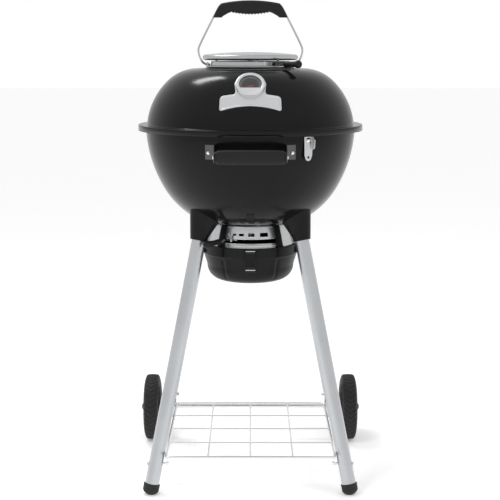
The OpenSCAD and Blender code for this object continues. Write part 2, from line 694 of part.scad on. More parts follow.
// ---- Lid ----
module lid_shell() color([0.05, 0.05, 0.055]) at_axis() difference() {
    union() {
        lid_skin(0, sheet_t);
        rotate_extrude() polygon([
            [lid_r - sheet_t, ledge_z], [lip_r - sheet_t, ledge_z], [lip_r - sheet_t,
                ledge_z + sheet_t - lip_h],
            [lip_r, ledge_z + sheet_t - lip_h], [lip_r, ledge_z + sheet_t], [lid_r - sheet_t,
                ledge_z + sheet_t]]);
    }
    for (az = [45:90:315]) intersection() {
        wedge(az, 20, crown_z - 15, 20);
        ring(damper_r - 4, 45, crown_z - 15, 20);
    }
    on_gauge(-30) cylinder(r = stem_r + slip, h = 60);
}
module vent_collar() color("silver") at_axis() difference() {
    union() {
        ring(collar_r, collar_r - 1.2, crown_z - 4, collar_h + 4);
        ring(collar_r + 13, collar_r - 1, crown_z - 5, 5.2);
        rotate_extrude() translate([collar_r + 11, crown_z + 0.2]) circle(r = 2.2);
        for (s = [-1, 1]) translate([s * pivot_x, 0, pivot_z - 1]) cube([5, 13, 13], center = true);
    }
    lid_solid();
    wedge(damper_az + damper_travel / 2, damper_travel / 2 + 5, lever_z - 4.2, 8.4);
    translate([0, 0, pivot_z]) rotate([0, 90, 0]) cylinder(r = bail_wire_r + running, h = far,
        center = true);
}
module cap_posts() color("silver") at_axis() {
    difference() {
        for (az = [10, 130, 250]) facing(az, post_r) translate([0, 0, crown_z - 6]) cylinder(r = 3, h = 60);
        lid_solid();
        cap_cutter();
    }
    difference() {
        translate([0, 0, crown_z - 1]) cylinder(r = stud_r, h = 60);
        lid_solid();
        cap_cutter();
    }
    translate([0, 0, damper_z + damper_t + fit]) ring(stud_r + 6, stud_r - 0.5, 0, 1.5);
}
module cap_cutter() difference() {
    translate([0, 0, crown_z]) cylinder(r = far, h = far);
    translate([0, 0, cap_top - cap_sphere]) sphere(r = cap_sphere - cap_sheet, $fn = 128);
}
module vent_cap() color("silver") at_axis() {
    steps = 10;
    edge = asin(cap_rim_r / cap_sphere);
    rotate_extrude() union() {
        polygon(concat(
            [for (i = [0:steps]) [cap_sphere * sin(edge * i / steps),
                cap_top - cap_sphere + cap_sphere * cos(edge * i / steps)]],
            [for (i = [steps:-1:0]) [(cap_sphere - cap_sheet) * sin(edge * i / steps),
                cap_top - cap_sphere + (cap_sphere - cap_sheet) * cos(edge * i / steps)]]));
        translate([cap_rim_r, cap_low + cap_bead]) circle(r = cap_bead);
    }
}

// ---- Thermometer and badge ----
module gauge_bezel() color("silver") at_axis() difference() {
    on_gauge() difference() {
        translate([0, 0, -5]) cylinder(r = gauge_r, h = gauge_h + 5);
        translate([0, 0, gauge_floor]) cylinder(r = gauge_r - 5, h = gauge_h - gauge_floor - 1);
        translate([0, 0, gauge_h - 2]) linear_extrude(4) window_outline();
        translate([0, 0, -10]) cylinder(r = stem_r, h = 20);
        translate([-2, pointer_y - 2, gauge_floor - 2.5]) cube([4, 8, 5]);
    }
    lid_solid();
}
module window_outline() {
    start = -asin(window_flat / window_r);
    polygon([for (i = [0:24]) let (a = start + (180 - 2 * start) * i / 24) [window_r * cos(a),
        window_r * sin(a)]]);
}
module gauge_dial() color([0.1, 0.1, 0.1]) at_axis() on_gauge(gauge_floor) difference() {
    cylinder(r = gauge_r - 5, h = dial_t);
    translate([0, pointer_y, -1]) cylinder(r = pin_r, h = 5);
}
module gauge_pointer() color("red") at_axis() on_gauge(gauge_floor + dial_t + 0.6) translate([0,
    pointer_y, 0])
    rotate([0, 0, pointer_rest]) difference() {
        union() {
            linear_extrude(0.8) polygon([[-10, -1.2], [0, -1.4], [17, -0.4], [17, 0.4], [0, 1.4], [-10,
                1.2]]);
            cylinder(r = 2.6, h = 0.8);
        }
        translate([0, 0, -1]) cylinder(r = pin_r + running, h = 3);
    }
module gauge_glass() color([0.8, 0.85, 0.9, 0.4]) at_axis() on_gauge(gauge_h - 1 - glass_t)
    cylinder(r = gauge_r - 5, h = glass_t);
module gauge_probe() color("silver") at_axis() {
    on_gauge(-probe_len) cylinder(r = stem_r, h = probe_len + gauge_floor);
    on_gauge(gauge_floor - 0.5) translate([0, pointer_y, 0]) cylinder(r = pin_r, h = dial_t + 2.2);
    on_gauge(gauge_floor - 2.5) translate([-2, pointer_y - 2, 0]) cube([4, 8, 2.5]);
}
module gauge_nut() color("gray") at_axis() on_gauge(-sheet_t - 6.5) difference() {
    cylinder(r = 9, h = 6, $fn = 6);
    translate([0, 0, -1]) cylinder(r = stem_r, h = 10);
}
module badge_plate() color("silver") at_axis() difference() {
    intersection() {
        lid_skin(-badge_t, 0);
        on_gauge(-60) linear_extrude(90) badge_outline();
    }
    on_gauge(-60) cylinder(r = gauge_r + slip, h = 90);
}
// Half of the badge's edge, from the foot of the dial's pad out to the wing and back to the middle
function badge_side() = concat(
    [for (a = [60:10:100]) [(gauge_r + 3) * sin(a) * 1.0, (gauge_r + 3) * cos(a)]],
    [[gauge_r - 2, -badge_rows[0] + 6], [gauge_r + 6, -badge_rows[0]]],
    [for (a = [90:-15:-90]) [badge_half - 9 + 9 * cos(a), (-badge_rows[0] - badge_rows[1]) / 2
        + ((badge_rows[1] - badge_rows[0]) / 2 - 9) * sign(a) + 9 * sin(a)]],
    [[badge_half / 2, -badge_rows[1] + 2.6], [0, -badge_rows[1] + 3.6]]);
module badge_outline() {
    right = badge_side();
    polygon(concat(
        [for (a = [-50:10:50]) [(gauge_r + 3) * sin(a), (gauge_r + 3) * cos(a)]],
        right, [for (i = [len(right) - 2:-1:0]) [-right[i][0], right[i][1]]]));
}

// ---- Lid bail ----
module bail_wire() color("silver") at_axis() translate([0, 0, pivot_z]) for (s = [-1, 1]) {
    foot_x_in = bail_grip_half[1] - 13;
    chain([
        [s * (pivot_x - 6), 0, 0], [s * (pivot_x + 9), 0, 0], [s * (bail_span - 6), 0, 4],
        [s * (bail_span - 1), 0, 13], [s * bail_span, 0, bail_wide_z - 4],
        [s * (bail_span - 2.5), 0, bail_wide_z + 6],
        [s * bail_grip_half[1] - s * 5, 0, bail_feet_z], [s * (bail_grip_half[1] - 20), 0,
            bail_feet_z + 28]],
        bail_wire_r);
}
function grip_top_arc() = [for (i = [0:12]) let (x = bail_grip_half[0] * (1 - i / 6))
    [x, bail_h - 8 * x * x / pow(bail_grip_half[0], 2)]];
function grip_under() = [for (i = [0:2 * bail_ribs]) let (x = -52 + 104 * i / (2 * bail_ribs))
    [x, bail_feet_z + 11 - 5.5 * cos(x / 52 * 90) + (i % 2 == 0 ? 0.6 : -0.6)]];
module bail_grip() color([0.04, 0.04, 0.04]) at_axis() translate([0, bail_grip_t / 2, pivot_z])
    difference() {
    rotate([90, 0, 0]) linear_extrude(bail_grip_t) polygon(concat(
        grip_top_arc(), [[-bail_grip_half[1], bail_feet_z], [-bail_grip_half[1] + 24, bail_feet_z],
        [-66, bail_feet_z + 9]], grip_under(), [[66, bail_feet_z + 9], [bail_grip_half[1] - 24,
            bail_feet_z],
        [bail_grip_half[1], bail_feet_z]]));
    for (s = [-1, 1]) translate([0, -bail_grip_t / 2, 0]) {
        a = [s * (bail_grip_half[1] - 5), 0, bail_feet_z];
        b = [s * (bail_grip_half[1] - 20), 0, bail_feet_z + 28];
        along(a - 0.3 * (b - a), b, bail_wire_r);
    }
}

// ---- Top damper ----
module damper_disc() color("silver") at_axis() difference() {
    translate([0, 0, damper_z]) cylinder(r = damper_r, h = damper_t);
    for (az = [45:90:315]) intersection() {
        wedge(az, 20, damper_z - 1, 10);
        ring(damper_r - 6, 47, damper_z - 1, 10);
    }
    translate([0, 0, damper_z - 1]) cylinder(r = stud_r + running, h = 5);
}
module damper_lever() color("silver") at_axis() facing(damper_az) {
    translate([0, -22, lever_z]) rotate([90, 0, 0]) cylinder(r = lever_rod_r, h = damper_reach - 60);
    for (r = [26, 40]) translate([0, -r, damper_z + damper_t]) cylinder(r = 2.4,
        h = lever_z - damper_z - damper_t);
}
module damper_grip() color([0.04, 0.04, 0.04]) at_axis() facing(damper_az) difference() {
    lever_handle(collar_r + 37, damper_reach, lever_z);
    translate([0, -22, lever_z]) rotate([90, 0, 0]) cylinder(r = lever_rod_r, h = damper_reach - 60);
}
module lever_handle(from, to, z) {
    translate([0, -from, z]) rotate([90, 0, 0]) cylinder(r = lever_grip_r, h = to - from);
    translate([0, -to, z]) sphere(r = lever_grip_r + 2.5);
}

// ---- Ash sweep ----
sweep_z = floor_z + sheet_t + 0.6;
module ash_sweep() color([0.3, 0.3, 0.3]) at_axis() {
    translate([0, 0, sweep_z]) cylinder(r = 26, h = 2.4);
    for (i = [0:2]) intersection() {
        wedge(i * 120, ash_slot_half + 3, sweep_z - 1, 3);
        translate([0, 0, sweep_z]) cylinder(r = ash_slot_r[1] + 4, h = 1.6);
    }
    for (i = [0:2]) facing(i * 120 + 20) translate([-1, -ash_slot_r[1], sweep_z + 0.4]) cube([2, 80, 12]);
    translate([0, 0, groove_z - 8]) cylinder(r = shaft_r, h = sweep_z + 14 - groove_z);
}
module sweep_lever() color("silver") at_axis() {
    difference() {
        union() {
            translate([0, 0, groove_z - 5]) cylinder(r = 13, h = 10);
            facing(sweep_az) {
                translate([-6, -housing_r[0] + 12, groove_z - 1.5]) cube([12, housing_r[0] - 16, 3]);
                translate([0, -housing_r[0] + 24, groove_z]) rotate([90, 0, 0])
                    cylinder(r = lever_rod_r, h = sweep_reach - housing_r[0] + 12);
            }
            arc_slab(sweep_az + pointer_lead / 2, pointer_lead + 8) translate([housing_r[0] - 16,
                groove_z - 1.5]) square([8, 3]);
            facing(sweep_az + pointer_lead) {
                out = housing_out(groove_z) + 1.2;
                translate([-2.5, -out - 1.5, groove_z - 1]) cube([5, out - housing_r[0] + 16, 2]);
                translate([-2.5, -out - 1.5, groove_z - 1]) cube([5, 1.5, 18]);
            }
        }
        translate([0, 0, groove_z - 9]) cylinder(r = shaft_r, h = 20);
    }
}
module sweep_grip() color([0.04, 0.04, 0.04]) at_axis() facing(sweep_az) difference() {
    lever_handle(housing_r[1] + 18, sweep_reach, groove_z);
    translate([0, -60, groove_z]) rotate([90, 0, 0]) cylinder(r = lever_rod_r, h = sweep_reach - 68);
}

// ---- Ash bucket with its latch and clips ----
bucket_foot_r = bucket_r - 8.5;
function bucket_line(inset) = concat(
    [[bucket_r - inset, hem_z - fit], [bucket_r - inset, band_low], [bucket_r - 2 - inset, band_low - 2]],
    [for (a = [0:15:90]) [bucket_foot_r - bucket_knuckle + (bucket_knuckle - inset) * cos(a),
        bucket_floor + bucket_knuckle - (bucket_knuckle - inset) * sin(a)]],
    [[0, bucket_floor + inset]]);
module ash_bucket() color([0.06, 0.06, 0.06]) at_axis() {
    rotate_extrude() polygon(concat(bucket_line(0), reversed(bucket_line(bucket_t))));
    for (s = [-1, 1]) hinge_ears(s * clip_az, clip_pin, clip_w);
    hinge_ears(0, latch_pin, latch_w);
}
module hinge_ears(az, pin, width) facing(az) difference() {
    for (s = [-1, 1]) translate([s * (width / 2 + 1.7), -pin[0], pin[1]]) rotate([0, 90, 0]) union() {
        cylinder(r = 4, h = 2.4, center = true);
        translate([-4, 0, -1.2]) cube([8, pin[0] - bucket_r + 2, 2.4]);
    }
    translate([0, -pin[0], pin[1]]) rotate([0, 90, 0]) cylinder(r = hinge_pin_r + running, h = 2 * width,
        center = true);
    translate([0, 0, pin[1] - 20]) facing(-az) cylinder(r = bucket_r - bucket_t / 2, h = 40);
}
module bucket_latch() color([0.12, 0.12, 0.12]) at_axis() {
    out = latch_pin[0];
    translate([-latch_w / 2, 0, 0]) rotate([90, 0, 90]) linear_extrude(latch_w) polygon([
        [-out - 2.5, latch_pin[1] + 6], [-out + 2.2, latch_pin[1] + 3], [-out + 2.6, latch_pin[1] - 20],
        [-out + 7, latch_pin[1] - 46], [-out + 1, latch_pin[1] - 50], [-out - 2.5, latch_pin[1] - 20]]);
    translate([0, -out, latch_pin[1]]) rotate([0, 90, 0]) cylinder(r = hinge_pin_r, h = latch_w + 7,
        center = true);
}
module bucket_clip(s) color([0.06, 0.06, 0.06]) at_axis() facing(s * clip_az) {
    out = clip_pin[0];
    bar_z = ledge + 2.9;
    translate([-clip_w / 2, 0, 0]) rotate([90, 0, 90]) linear_extrude(clip_w) polygon([
        [-out - 5, clip_pin[1] - 8], [-out + 4, clip_pin[1] - 3.5], [-out + 4, clip_pin[1] + 8],
        [-out - 2, clip_pin[1] + 12], [-out - 6, clip_pin[1] + 4]]);
    translate([0, -out, clip_pin[1]]) rotate([0, 90, 0]) cylinder(r = hinge_pin_r, h = clip_w + 5,
        center = true);
    for (side = [-1, 1]) translate([side * (clip_w / 2 - 1.5) - 1.5, 0, 0]) rotate([90, 0, 90])
        linear_extrude(3)
        polygon([[-out - 1.5, clip_pin[1]], [-out + 1.5, clip_pin[1]], [-out + 2.5, clip_pin[1] + 22],
            [-clip_bar_r + 1, bar_z - 1], [-clip_bar_r + 1, bar_z + 1], [-clip_bar_r - 1, bar_z + 1],
            [-out - 0.5, clip_pin[1] + 22]]);
    translate([0, -clip_bar_r, bar_z]) rotate([0, 90, 0]) cylinder(r = 1.5, h = clip_w, center = true);
}
module bucket_clip_left() bucket_clip(-1);
module bucket_clip_right() bucket_clip(1);

// ---- Grates ----
module round_grate(r, z) at_axis() {
    rotate_extrude() translate([r - grate_wire_r, z]) circle(r = grate_wire_r);
    count = floor((r - 12) / grate_pitch);
    for (i = [-count:count]) {
        half = sqrt(pow(r - grate_wire_r, 2) - pow(i * grate_pitch, 2));
        along([i * grate_pitch, -half, z], [i * grate_pitch, half, z], grate_wire_r * 0.8);
    }
    for (y = [-r * 0.45, r * 0.45]) {
        half = sqrt(pow(r - grate_wire_r, 2) - y * y);
        along([-half, y, z - grate_wire_r * 0.6], [half, y, z - grate_wire_r * 0.6], grate_wire_r * 0.8);
    }
}
module cooking_grate() color("silver") round_grate(cook_r, rim_z - cook_drop);
module charcoal_grate() color("gray") round_grate(coal_r, rim_z - coal_drop);

bowl();
grate_supports();
vent_housing();
housing_struts();
housing_straps();
side_panel_left();
side_panel_right();
socket_front_left();
socket_front_right();
socket_rear_left();
socket_rear_right();
leg_front_left();
leg_front_right();
leg_rear_left();
leg_rear_right();
foot_left();
foot_right();
end_plug_left();
end_plug_right();
axle();
axle_caps();
wire_rack();
rack_screws();
front_grip();
grip_bracket_left();
grip_bracket_right();
grip_screws();
opener_plate();
opener_screw();
lid_shell();
vent_collar();
cap_posts();
vent_cap();
gauge_bezel();
gauge_dial();
gauge_pointer();
gauge_glass();
gauge_probe();
gauge_nut();
badge_plate();
bail_wire();
bail_grip();
damper_disc();
damper_lever();
damper_grip();
ash_sweep();
sweep_lever();
sweep_grip();
ash_bucket();
bucket_latch();
bucket_clip_left();
bucket_clip_right();
tyre_left();
tyre_right();
wheel_left();
wheel_right();
cooking_grate();
charcoal_grate();
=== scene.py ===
# %% [markdown]
# # A kettle charcoal grill
# The grill's hard parts come in as a fixed frame of CAD nodes. Here each visible part gets its real surface:
# sheet steel that was spun and rolled, bent wire, moulded grips and a treaded tyre, and a finish made of nodes.
# Where a CAD node already has the right shape it stays, and only gets rounded edges and a finish.

# %% Load the frame
import math
import bpy
import bmesh
import numpy as np
from mathutils import Matrix, Vector


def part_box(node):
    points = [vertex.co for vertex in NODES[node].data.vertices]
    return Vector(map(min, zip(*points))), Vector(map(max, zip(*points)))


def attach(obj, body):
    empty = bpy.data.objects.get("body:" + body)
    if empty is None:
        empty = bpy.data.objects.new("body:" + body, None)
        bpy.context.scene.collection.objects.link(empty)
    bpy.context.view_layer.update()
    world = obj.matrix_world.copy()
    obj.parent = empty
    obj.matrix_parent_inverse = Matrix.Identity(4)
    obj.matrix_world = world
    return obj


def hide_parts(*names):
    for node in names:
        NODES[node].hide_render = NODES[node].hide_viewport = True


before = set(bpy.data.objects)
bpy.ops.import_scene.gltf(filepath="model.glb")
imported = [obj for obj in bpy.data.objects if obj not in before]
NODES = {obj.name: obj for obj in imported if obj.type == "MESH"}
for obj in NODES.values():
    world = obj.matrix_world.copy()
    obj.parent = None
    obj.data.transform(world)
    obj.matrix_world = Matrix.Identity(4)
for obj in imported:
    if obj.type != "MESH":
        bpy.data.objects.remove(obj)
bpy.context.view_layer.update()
MM = 0.001

# %% [markdown]
# Every size below is in metres. The kettle is round about an upright axis, so its height and radius say where a
# point is. The axis and the main heights come from the boxes of the CAD nodes.

# %% The kettle's axis and levels
def low(node):
    """Lowest corner of a node's box."""
    return np.array(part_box(node)[0])


def high(node):
    """Highest corner of a node's box."""
    return np.array(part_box(node)[1])


AXIS = np.array([0.0, (low("bowl")[1] + high("bowl")[1]) / 2, 0.0])
RIM_Z = high("bowl")[2]
LEDGE_Z = RIM_Z + 0.3 * MM
CROWN_Z = high("lid_shell")[2]
FLOOR_Z = low("bowl")[2]
LIP_R = high("lid_shell")[0]
SHEET = 2 * MM
FLANGE_Z = FLOOR_Z - 4.5 * MM
HEM_Z = FLANGE_Z - 54 * MM
GROOVE_Z = FLANGE_Z - 37.5 * MM
PIVOT_Z = CROWN_Z + 5 * MM
print("axis at y", round(AXIS[1], 4), "rim", round(RIM_Z, 4), "crown", round(CROWN_Z, 4), "floor", round(FLOOR_Z, 4))

# %% [markdown]
# Four small tools make every new surface. A grid of points becomes quads. A profile turned about an axis makes
# spun sheet. A section carried along a path makes wire. A rounded box makes lugs and blocks. Each works on whole
# arrays, and the grid's seam and its poles are merged afterwards, so that the surface is closed.

# %% Grids of points
def quads(rows, cols, wrap_rows=False, wrap_cols=False):
    """Corner numbers of the quads of a rows by cols grid, with wrapping where the grid closes on itself."""
    i = np.arange(rows if wrap_rows else rows - 1)[:, None]
    j = np.arange(cols if wrap_cols else cols - 1)[None, :]
    up, right = (i + 1) % rows, (j + 1) % cols
    corners = [i * cols + j, up * cols + j, up * cols + right, i * cols + right]
    return np.stack(corners, -1).reshape(-1, 4)


def grid(points, wrap_rows=False, wrap_cols=False):
    """A surface as (vertices, quads) from an array of rows by cols points."""
    rows, cols = points.shape[:2]
    return points.reshape(-1, 3), quads(rows, cols, wrap_rows, wrap_cols)


def joined(*surfaces):
    """Several (vertices, quads) surfaces as one."""
    shift = np.cumsum([0] + [len(v) for v, _ in surfaces[:-1]])
    return np.vstack([v for v, _ in surfaces]), np.vstack([q + s for (_, q), s in zip(surfaces, shift)])


def piece(name, surface, body, finish, node=None, solid=True, sharp=35, weld=2e-6):
    """Puts a surface into a mesh object, merges its doubles, points its faces outwards, shades it smooth with
    edges above `sharp` degrees kept crisp, and makes it ride on its body in place of a CAD node."""
    mesh = bpy.data.meshes.new(name)
    mesh.from_pydata(surface[0], [], surface[1])
    bm = bmesh.new()
    bm.from_mesh(mesh)
    bmesh.ops.remove_doubles(bm, verts=bm.verts, dist=weld)
    bmesh.ops.dissolve_degenerate(bm, edges=bm.edges, dist=weld)
    if solid:
        bmesh.ops.recalc_face_normals(bm, faces=bm.faces)
    bm.to_mesh(mesh)
    bm.free()
    mesh.shade_smooth()
    mesh.set_sharp_from_angle(angle=math.radians(sharp))
    mesh.materials.append(finish)
    obj = bpy.data.objects.new(name, mesh)
    bpy.context.scene.collection.objects.link(obj)
    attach(obj, body)
    if node:
        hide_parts(*([node] if isinstance(node, str) else node))
    print(f"{name}: {len(mesh.polygons)} faces")
    return obj


# %% Profiles, turning and paths
def arc(centre, radius, start, end, count=16):
    """Points on a circle in a plane, from one angle in degrees to another."""
    a = np.radians(np.linspace(start, end, count))
    return np.stack([centre[0] + radius * np.cos(a), centre[1] + radius * np.sin(a)], 1)


def filleted(corners, radii, count=6, closed=False):
    """A line through the corners, in two or three dimensions, with each corner rounded to its radius by a
    quadratic curve whose two ends lie on the neighbouring sides."""
    p = np.asarray(corners, float)
    radii = np.broadcast_to(radii, len(p))
    before, after = np.roll(p, 1, 0), np.roll(p, -1, 0)
    to_before, to_after = before - p, after - p
    lb, la = np.linalg.norm(to_before, axis=1), np.linalg.norm(to_after, axis=1)
    reach = np.minimum(radii, 0.49 * np.minimum(lb, la))
    if not closed:
        reach = reach * np.r_[0, np.ones(len(p) - 2), 0]
    a = p + to_before / np.maximum(lb, 1e-12)[:, None] * reach[:, None]
    c = p + to_after / np.maximum(la, 1e-12)[:, None] * reach[:, None]
    t = np.linspace(0, 1, count)[None, :, None]
    curve = (1 - t) ** 2 * a[:, None] + 2 * t * (1 - t) * p[:, None] + t**2 * c[:, None]
    line = curve.reshape(-1, p.shape[1])
    keep = np.r_[True, np.linalg.norm(np.diff(line, axis=0), axis=1) > 1e-7]
    return line[keep]


def place(points, origin=(0, 0, 0), x=(1, 0, 0), y=(0, 1, 0), z=(0, 0, 1)):
    """Points given along three directions from an origin, in the frame's own axes."""
    return np.asarray(origin) + points @ np.array([x, y, z], float)


def turned(profile, count=192, closed=True, where=None):
    """A profile of (radius, height) turned round an upright axis: x and y are the radius times the cosine and
    the sine of the turn. A closed profile's last point joins its first."""
    a = np.linspace(0, 2 * np.pi, count, endpoint=False)[:, None]
    r, z = profile[None, :, 0], profile[None, :, 1]
    points = np.stack([r * np.cos(a), r * np.sin(a), z + 0 * a], -1)
    return grid(place(points, **(where or {"origin": AXIS})), True, closed)


def tube(path, radius, sides=14, closed=False, normal=(0, 1, 0)):
    """A round wire along a path that lies in or near a plane with the given normal. At each point the circle
    stands across the path, and an open path ends in a small dome."""
    p = np.asarray(path, float)
    if closed:
        t = np.roll(p, -1, 0) - np.roll(p, 1, 0)
    else:
        t = np.gradient(p, axis=0)
    t = t / np.linalg.norm(t, axis=1)[:, None]
    n = np.cross(t, np.asarray(normal, float))
    n = n / np.linalg.norm(n, axis=1)[:, None]
    b = np.cross(t, n)
    scale = np.ones(len(p))
    if not closed:
        tip = np.array([0.0, 0.55, 0.85])
        ahead = np.array([0.45, 0.32, 0.12])[:, None] * radius
        p = np.vstack([p[0] - t[0] * ahead, p, (p[-1] + t[-1] * ahead)[::-1]])
        n, b = (np.vstack([np.repeat(v[:1], 3, 0), v, np.repeat(v[-1:], 3, 0)]) for v in (n, b))
        scale = np.r_[tip, scale, tip[::-1]]
    a = np.linspace(0, 2 * np.pi, sides, endpoint=False)
    ring = np.cos(a)[None, :, None] * n[:, None] + np.sin(a)[None, :, None] * b[:, None]
    return grid(p[:, None] + ring * (radius * scale)[:, None, None], closed, True)


def bent(wave, power):
    """A sine or cosine raised to 2/power with its sign kept: a large power turns a circle into a square."""
    return np.sign(wave) * np.abs(wave) ** (2 / power)


def straight(start, end):
    """Twelve evenly spaced points on the line from one point to another."""
    return np.linspace(start, end, 12)


def azimuth_of(points):
    """Azimuths in degrees of points given from the kettle's axis: 0 at the front and positive to the right."""
    return np.degrees(np.arctan2(points[:, 0], -points[:, 1]))


def block(size, centre=(0, 0, 0), power=8, count=28, **axes):
    """A box with rounded edges: a sphere of angles u and v whose cosines and sines are raised to 2/power, so
    that a large power makes it square."""
    u = np.linspace(-np.pi / 2, np.pi / 2, count)[:, None]
    v = np.linspace(0, 2 * np.pi, 2 * count, endpoint=False)[None, :]
    points = np.stack([bent(np.cos(u), power) * bent(np.cos(v), power),
                       bent(np.cos(u), power) * bent(np.sin(v), power),
                       bent(np.sin(u), power) + 0 * v], -1) * np.asarray(size) / 2
    return grid(place(points, centre, **axes), False, True)


def facing(azimuth, radius=0.0, z=0.0):
    """Origin and directions of a place on the kettle: y points at its axis, x to the right, z up. The azimuth
    is in degrees, 0 at the front and positive to the right."""
    a = math.radians(azimuth)
    out = np.array([math.sin(a), -math.cos(a), 0])
    return {"origin": AXIS + out * radius + [0, 0, z], "x": (math.cos(a), math.sin(a), 0), "y": tuple(-out)}


print("tools ready")

# %% [markdown]
# A finish is one Principled shader. Numbers that are the same all over sit on its own sockets, and noise adds
# what a real surface has: orange peel in enamel, grain in moulded plastic, brush lines in stainless steel. The
# noise reads Object coordinates in metres, so its scale is the number of cells in a metre.

# %% Finishes
def finish(name, colour, metallic=0.0, rough=0.4, rough_spread=0.08, tint=0.25, stretch=(1, 1, 1), scale=60.0,
           bump=0.05, bump_scale=400.0, depth=0.0004, specular=0.5, round_brush=False):
    """A procedural finish. Broad noise of `scale` mottles the colour by `tint` and the roughness by
    `rough_spread`, and fine noise of `bump_scale`, stretched as `stretch` says, makes the bump. With
    round_brush the fine noise runs in circles about the kettle's axis."""
    made = bpy.data.materials.new(name)
    made.use_nodes = True
    nodes, links = made.node_tree.nodes, made.node_tree.links
    shader = nodes["Principled BSDF"]
    shader.inputs["Metallic"].default_value = metallic
    shader.inputs["Specular IOR Level"].default_value = specular
    coords = nodes.new("ShaderNodeTexCoord")
    broad = nodes.new("ShaderNodeTexNoise")
    broad.inputs["Scale"].default_value = scale
    broad.inputs["Detail"].default_value = 4
    links.new(coords.outputs["Object"], broad.inputs["Vector"])
    mapping = nodes.new("ShaderNodeMapping")
    mapping.inputs["Scale"].default_value = stretch
    fine = nodes.new("ShaderNodeTexNoise")
    fine.inputs["Scale"].default_value = bump_scale
    fine.inputs["Detail"].default_value = 3
    if round_brush:
        mapping.inputs["Location"].default_value = (0, -AXIS[1], 0)
        mapping.inputs["Scale"].default_value = (1, 1, 0)
        length = nodes.new("ShaderNodeVectorMath")
        length.operation = "LENGTH"
        links.new(coords.outputs["Object"], mapping.inputs["Vector"])
        links.new(mapping.outputs["Vector"], length.inputs[0])
        fine.noise_dimensions = "1D"
        links.new(length.outputs["Value"], fine.inputs["W"])
    else:
        links.new(coords.outputs["Object"], mapping.inputs["Vector"])
        links.new(mapping.outputs["Vector"], fine.inputs["Vector"])
    ramp = nodes.new("ShaderNodeMix")
    ramp.data_type = "RGBA"
    dark = [c * (1 - tint) for c in colour]
    light = [min(1.0, c * (1 + tint)) for c in colour]
    ramp.inputs["A"].default_value = (*dark, 1)
    ramp.inputs["B"].default_value = (*light, 1)
    blend = nodes.new("ShaderNodeMath")
    blend.operation = "MULTIPLY_ADD"
    blend.inputs[1].default_value = 0.5
    half = nodes.new("ShaderNodeMath")
    half.operation = "MULTIPLY"
    half.inputs[1].default_value = 0.5
    links.new(fine.outputs["Fac"], half.inputs[0])
    links.new(broad.outputs["Fac"], blend.inputs[0])
    links.new(half.outputs["Value"], blend.inputs[2])
    links.new(blend.outputs["Value"], ramp.inputs["Factor"])
    links.new(ramp.outputs["Result"], shader.inputs["Base Color"])
    span = nodes.new("ShaderNodeMapRange")
    span.inputs["From Min"].default_value = 0.3
    span.inputs["From Max"].default_value = 0.7
    span.inputs["To Min"].default_value = max(0.02, rough - rough_spread)
    span.inputs["To Max"].default_value = rough + rough_spread
    links.new(blend.outputs["Value"], span.inputs["Value"])
    links.new(span.outputs["Result"], shader.inputs["Roughness"])
    relief = nodes.new("ShaderNodeBump")
    relief.inputs["Strength"].default_value = bump
    relief.inputs["Distance"].default_value = depth
    links.new(fine.outputs["Fac"], relief.inputs["Height"])
    links.new(relief.outputs["Normal"], shader.inputs["Normal"])
    return made


ENAMEL = finish("black_enamel", (0.0055, 0.0055, 0.006), rough=0.17, rough_spread=0.03, tint=0.2, scale=9,
                bump=0.10, bump_scale=260, specular=0.16)
GRIP = finish("moulded_grip", (0.012, 0.012, 0.013), rough=0.42, rough_spread=0.08, scale=30, bump=0.22,
              bump_scale=2600, depth=0.0002, specular=0.2)
SATIN_BLACK = finish("satin_black_steel", (0.008, 0.008, 0.009), rough=0.34, rough_spread=0.06, scale=25,
                     bump=0.10, bump_scale=1400, depth=0.0002, specular=0.16)
RUBBER = finish("black_rubber", (0.014, 0.014, 0.014), rough=0.62, rough_spread=0.1, scale=40, bump=0.3,
                bump_scale=1800, depth=0.0003, specular=0.35)
WHEEL_PLASTIC = finish("wheel_plastic", (0.02, 0.02, 0.021), rough=0.48, scale=40, bump=0.2, bump_scale=2200,
                       depth=0.0002, specular=0.4)
BRUSHED = finish("brushed_stainless", (0.60, 0.61, 0.62), metallic=1, rough=0.30, rough_spread=0.07, tint=0.14,
                 stretch=(3, 3, 260), scale=14, bump=0.16, bump_scale=9, depth=0.0003)
SPUN = finish("spun_stainless", (0.50, 0.51, 0.52), metallic=1, rough=0.27, rough_spread=0.07, tint=0.14,
              scale=12, bump=0.14, bump_scale=1500, depth=0.0003, round_brush=True)
CHROME = finish("bright_chrome", (0.78, 0.79, 0.80), metallic=1, rough=0.10, rough_spread=0.03, tint=0.04,
                scale=30, bump=0.03, bump_scale=300, depth=0.0002)
SATIN_CHROME = finish("satin_chrome", (0.70, 0.71, 0.72), metallic=1, rough=0.34, rough_spread=0.05, tint=0.06,
                      scale=30, bump=0.08, bump_scale=1500, depth=0.0002)
STEEL = finish("plated_steel", (0.55, 0.56, 0.57), metallic=1, rough=0.26, rough_spread=0.06, tint=0.12,
               scale=45, bump=0.10, bump_scale=900, depth=0.0002)
# Dark steel. On the silver grip brackets this dark colour is painted shade: it stands in for the shadow and dark
# reflection they show.
DARK_STEEL_AND_PAINTED_SHADE = finish("dark_steel_and_painted_shade", (0.10, 0.10, 0.105), metallic=1, rough=0.33, rough_spread=0.08, tint=0.2,
                    scale=40, bump=0.12, bump_scale=900, depth=0.0002)
TUBE = finish("brushed_aluminium", (0.55, 0.565, 0.58), metallic=1, rough=0.33, rough_spread=0.08, tint=0.16,
              stretch=(240, 240, 3), scale=10, bump=0.20, bump_scale=6, depth=0.0002)
WIRE = finish("bright_wire", (0.86, 0.86, 0.86), metallic=1, rough=0.20, rough_spread=0.05, tint=0.06,
              scale=60, bump=0.05, bump_scale=800, depth=0.0002)
POINTER = finish("red_enamel", (0.62, 0.015, 0.02), rough=0.35, scale=200, tint=0.1, bump=0.05)
DIAL = finish("dial_black", (0.01, 0.01, 0.011), rough=0.5, scale=120, bump=0.1, bump_scale=2000)
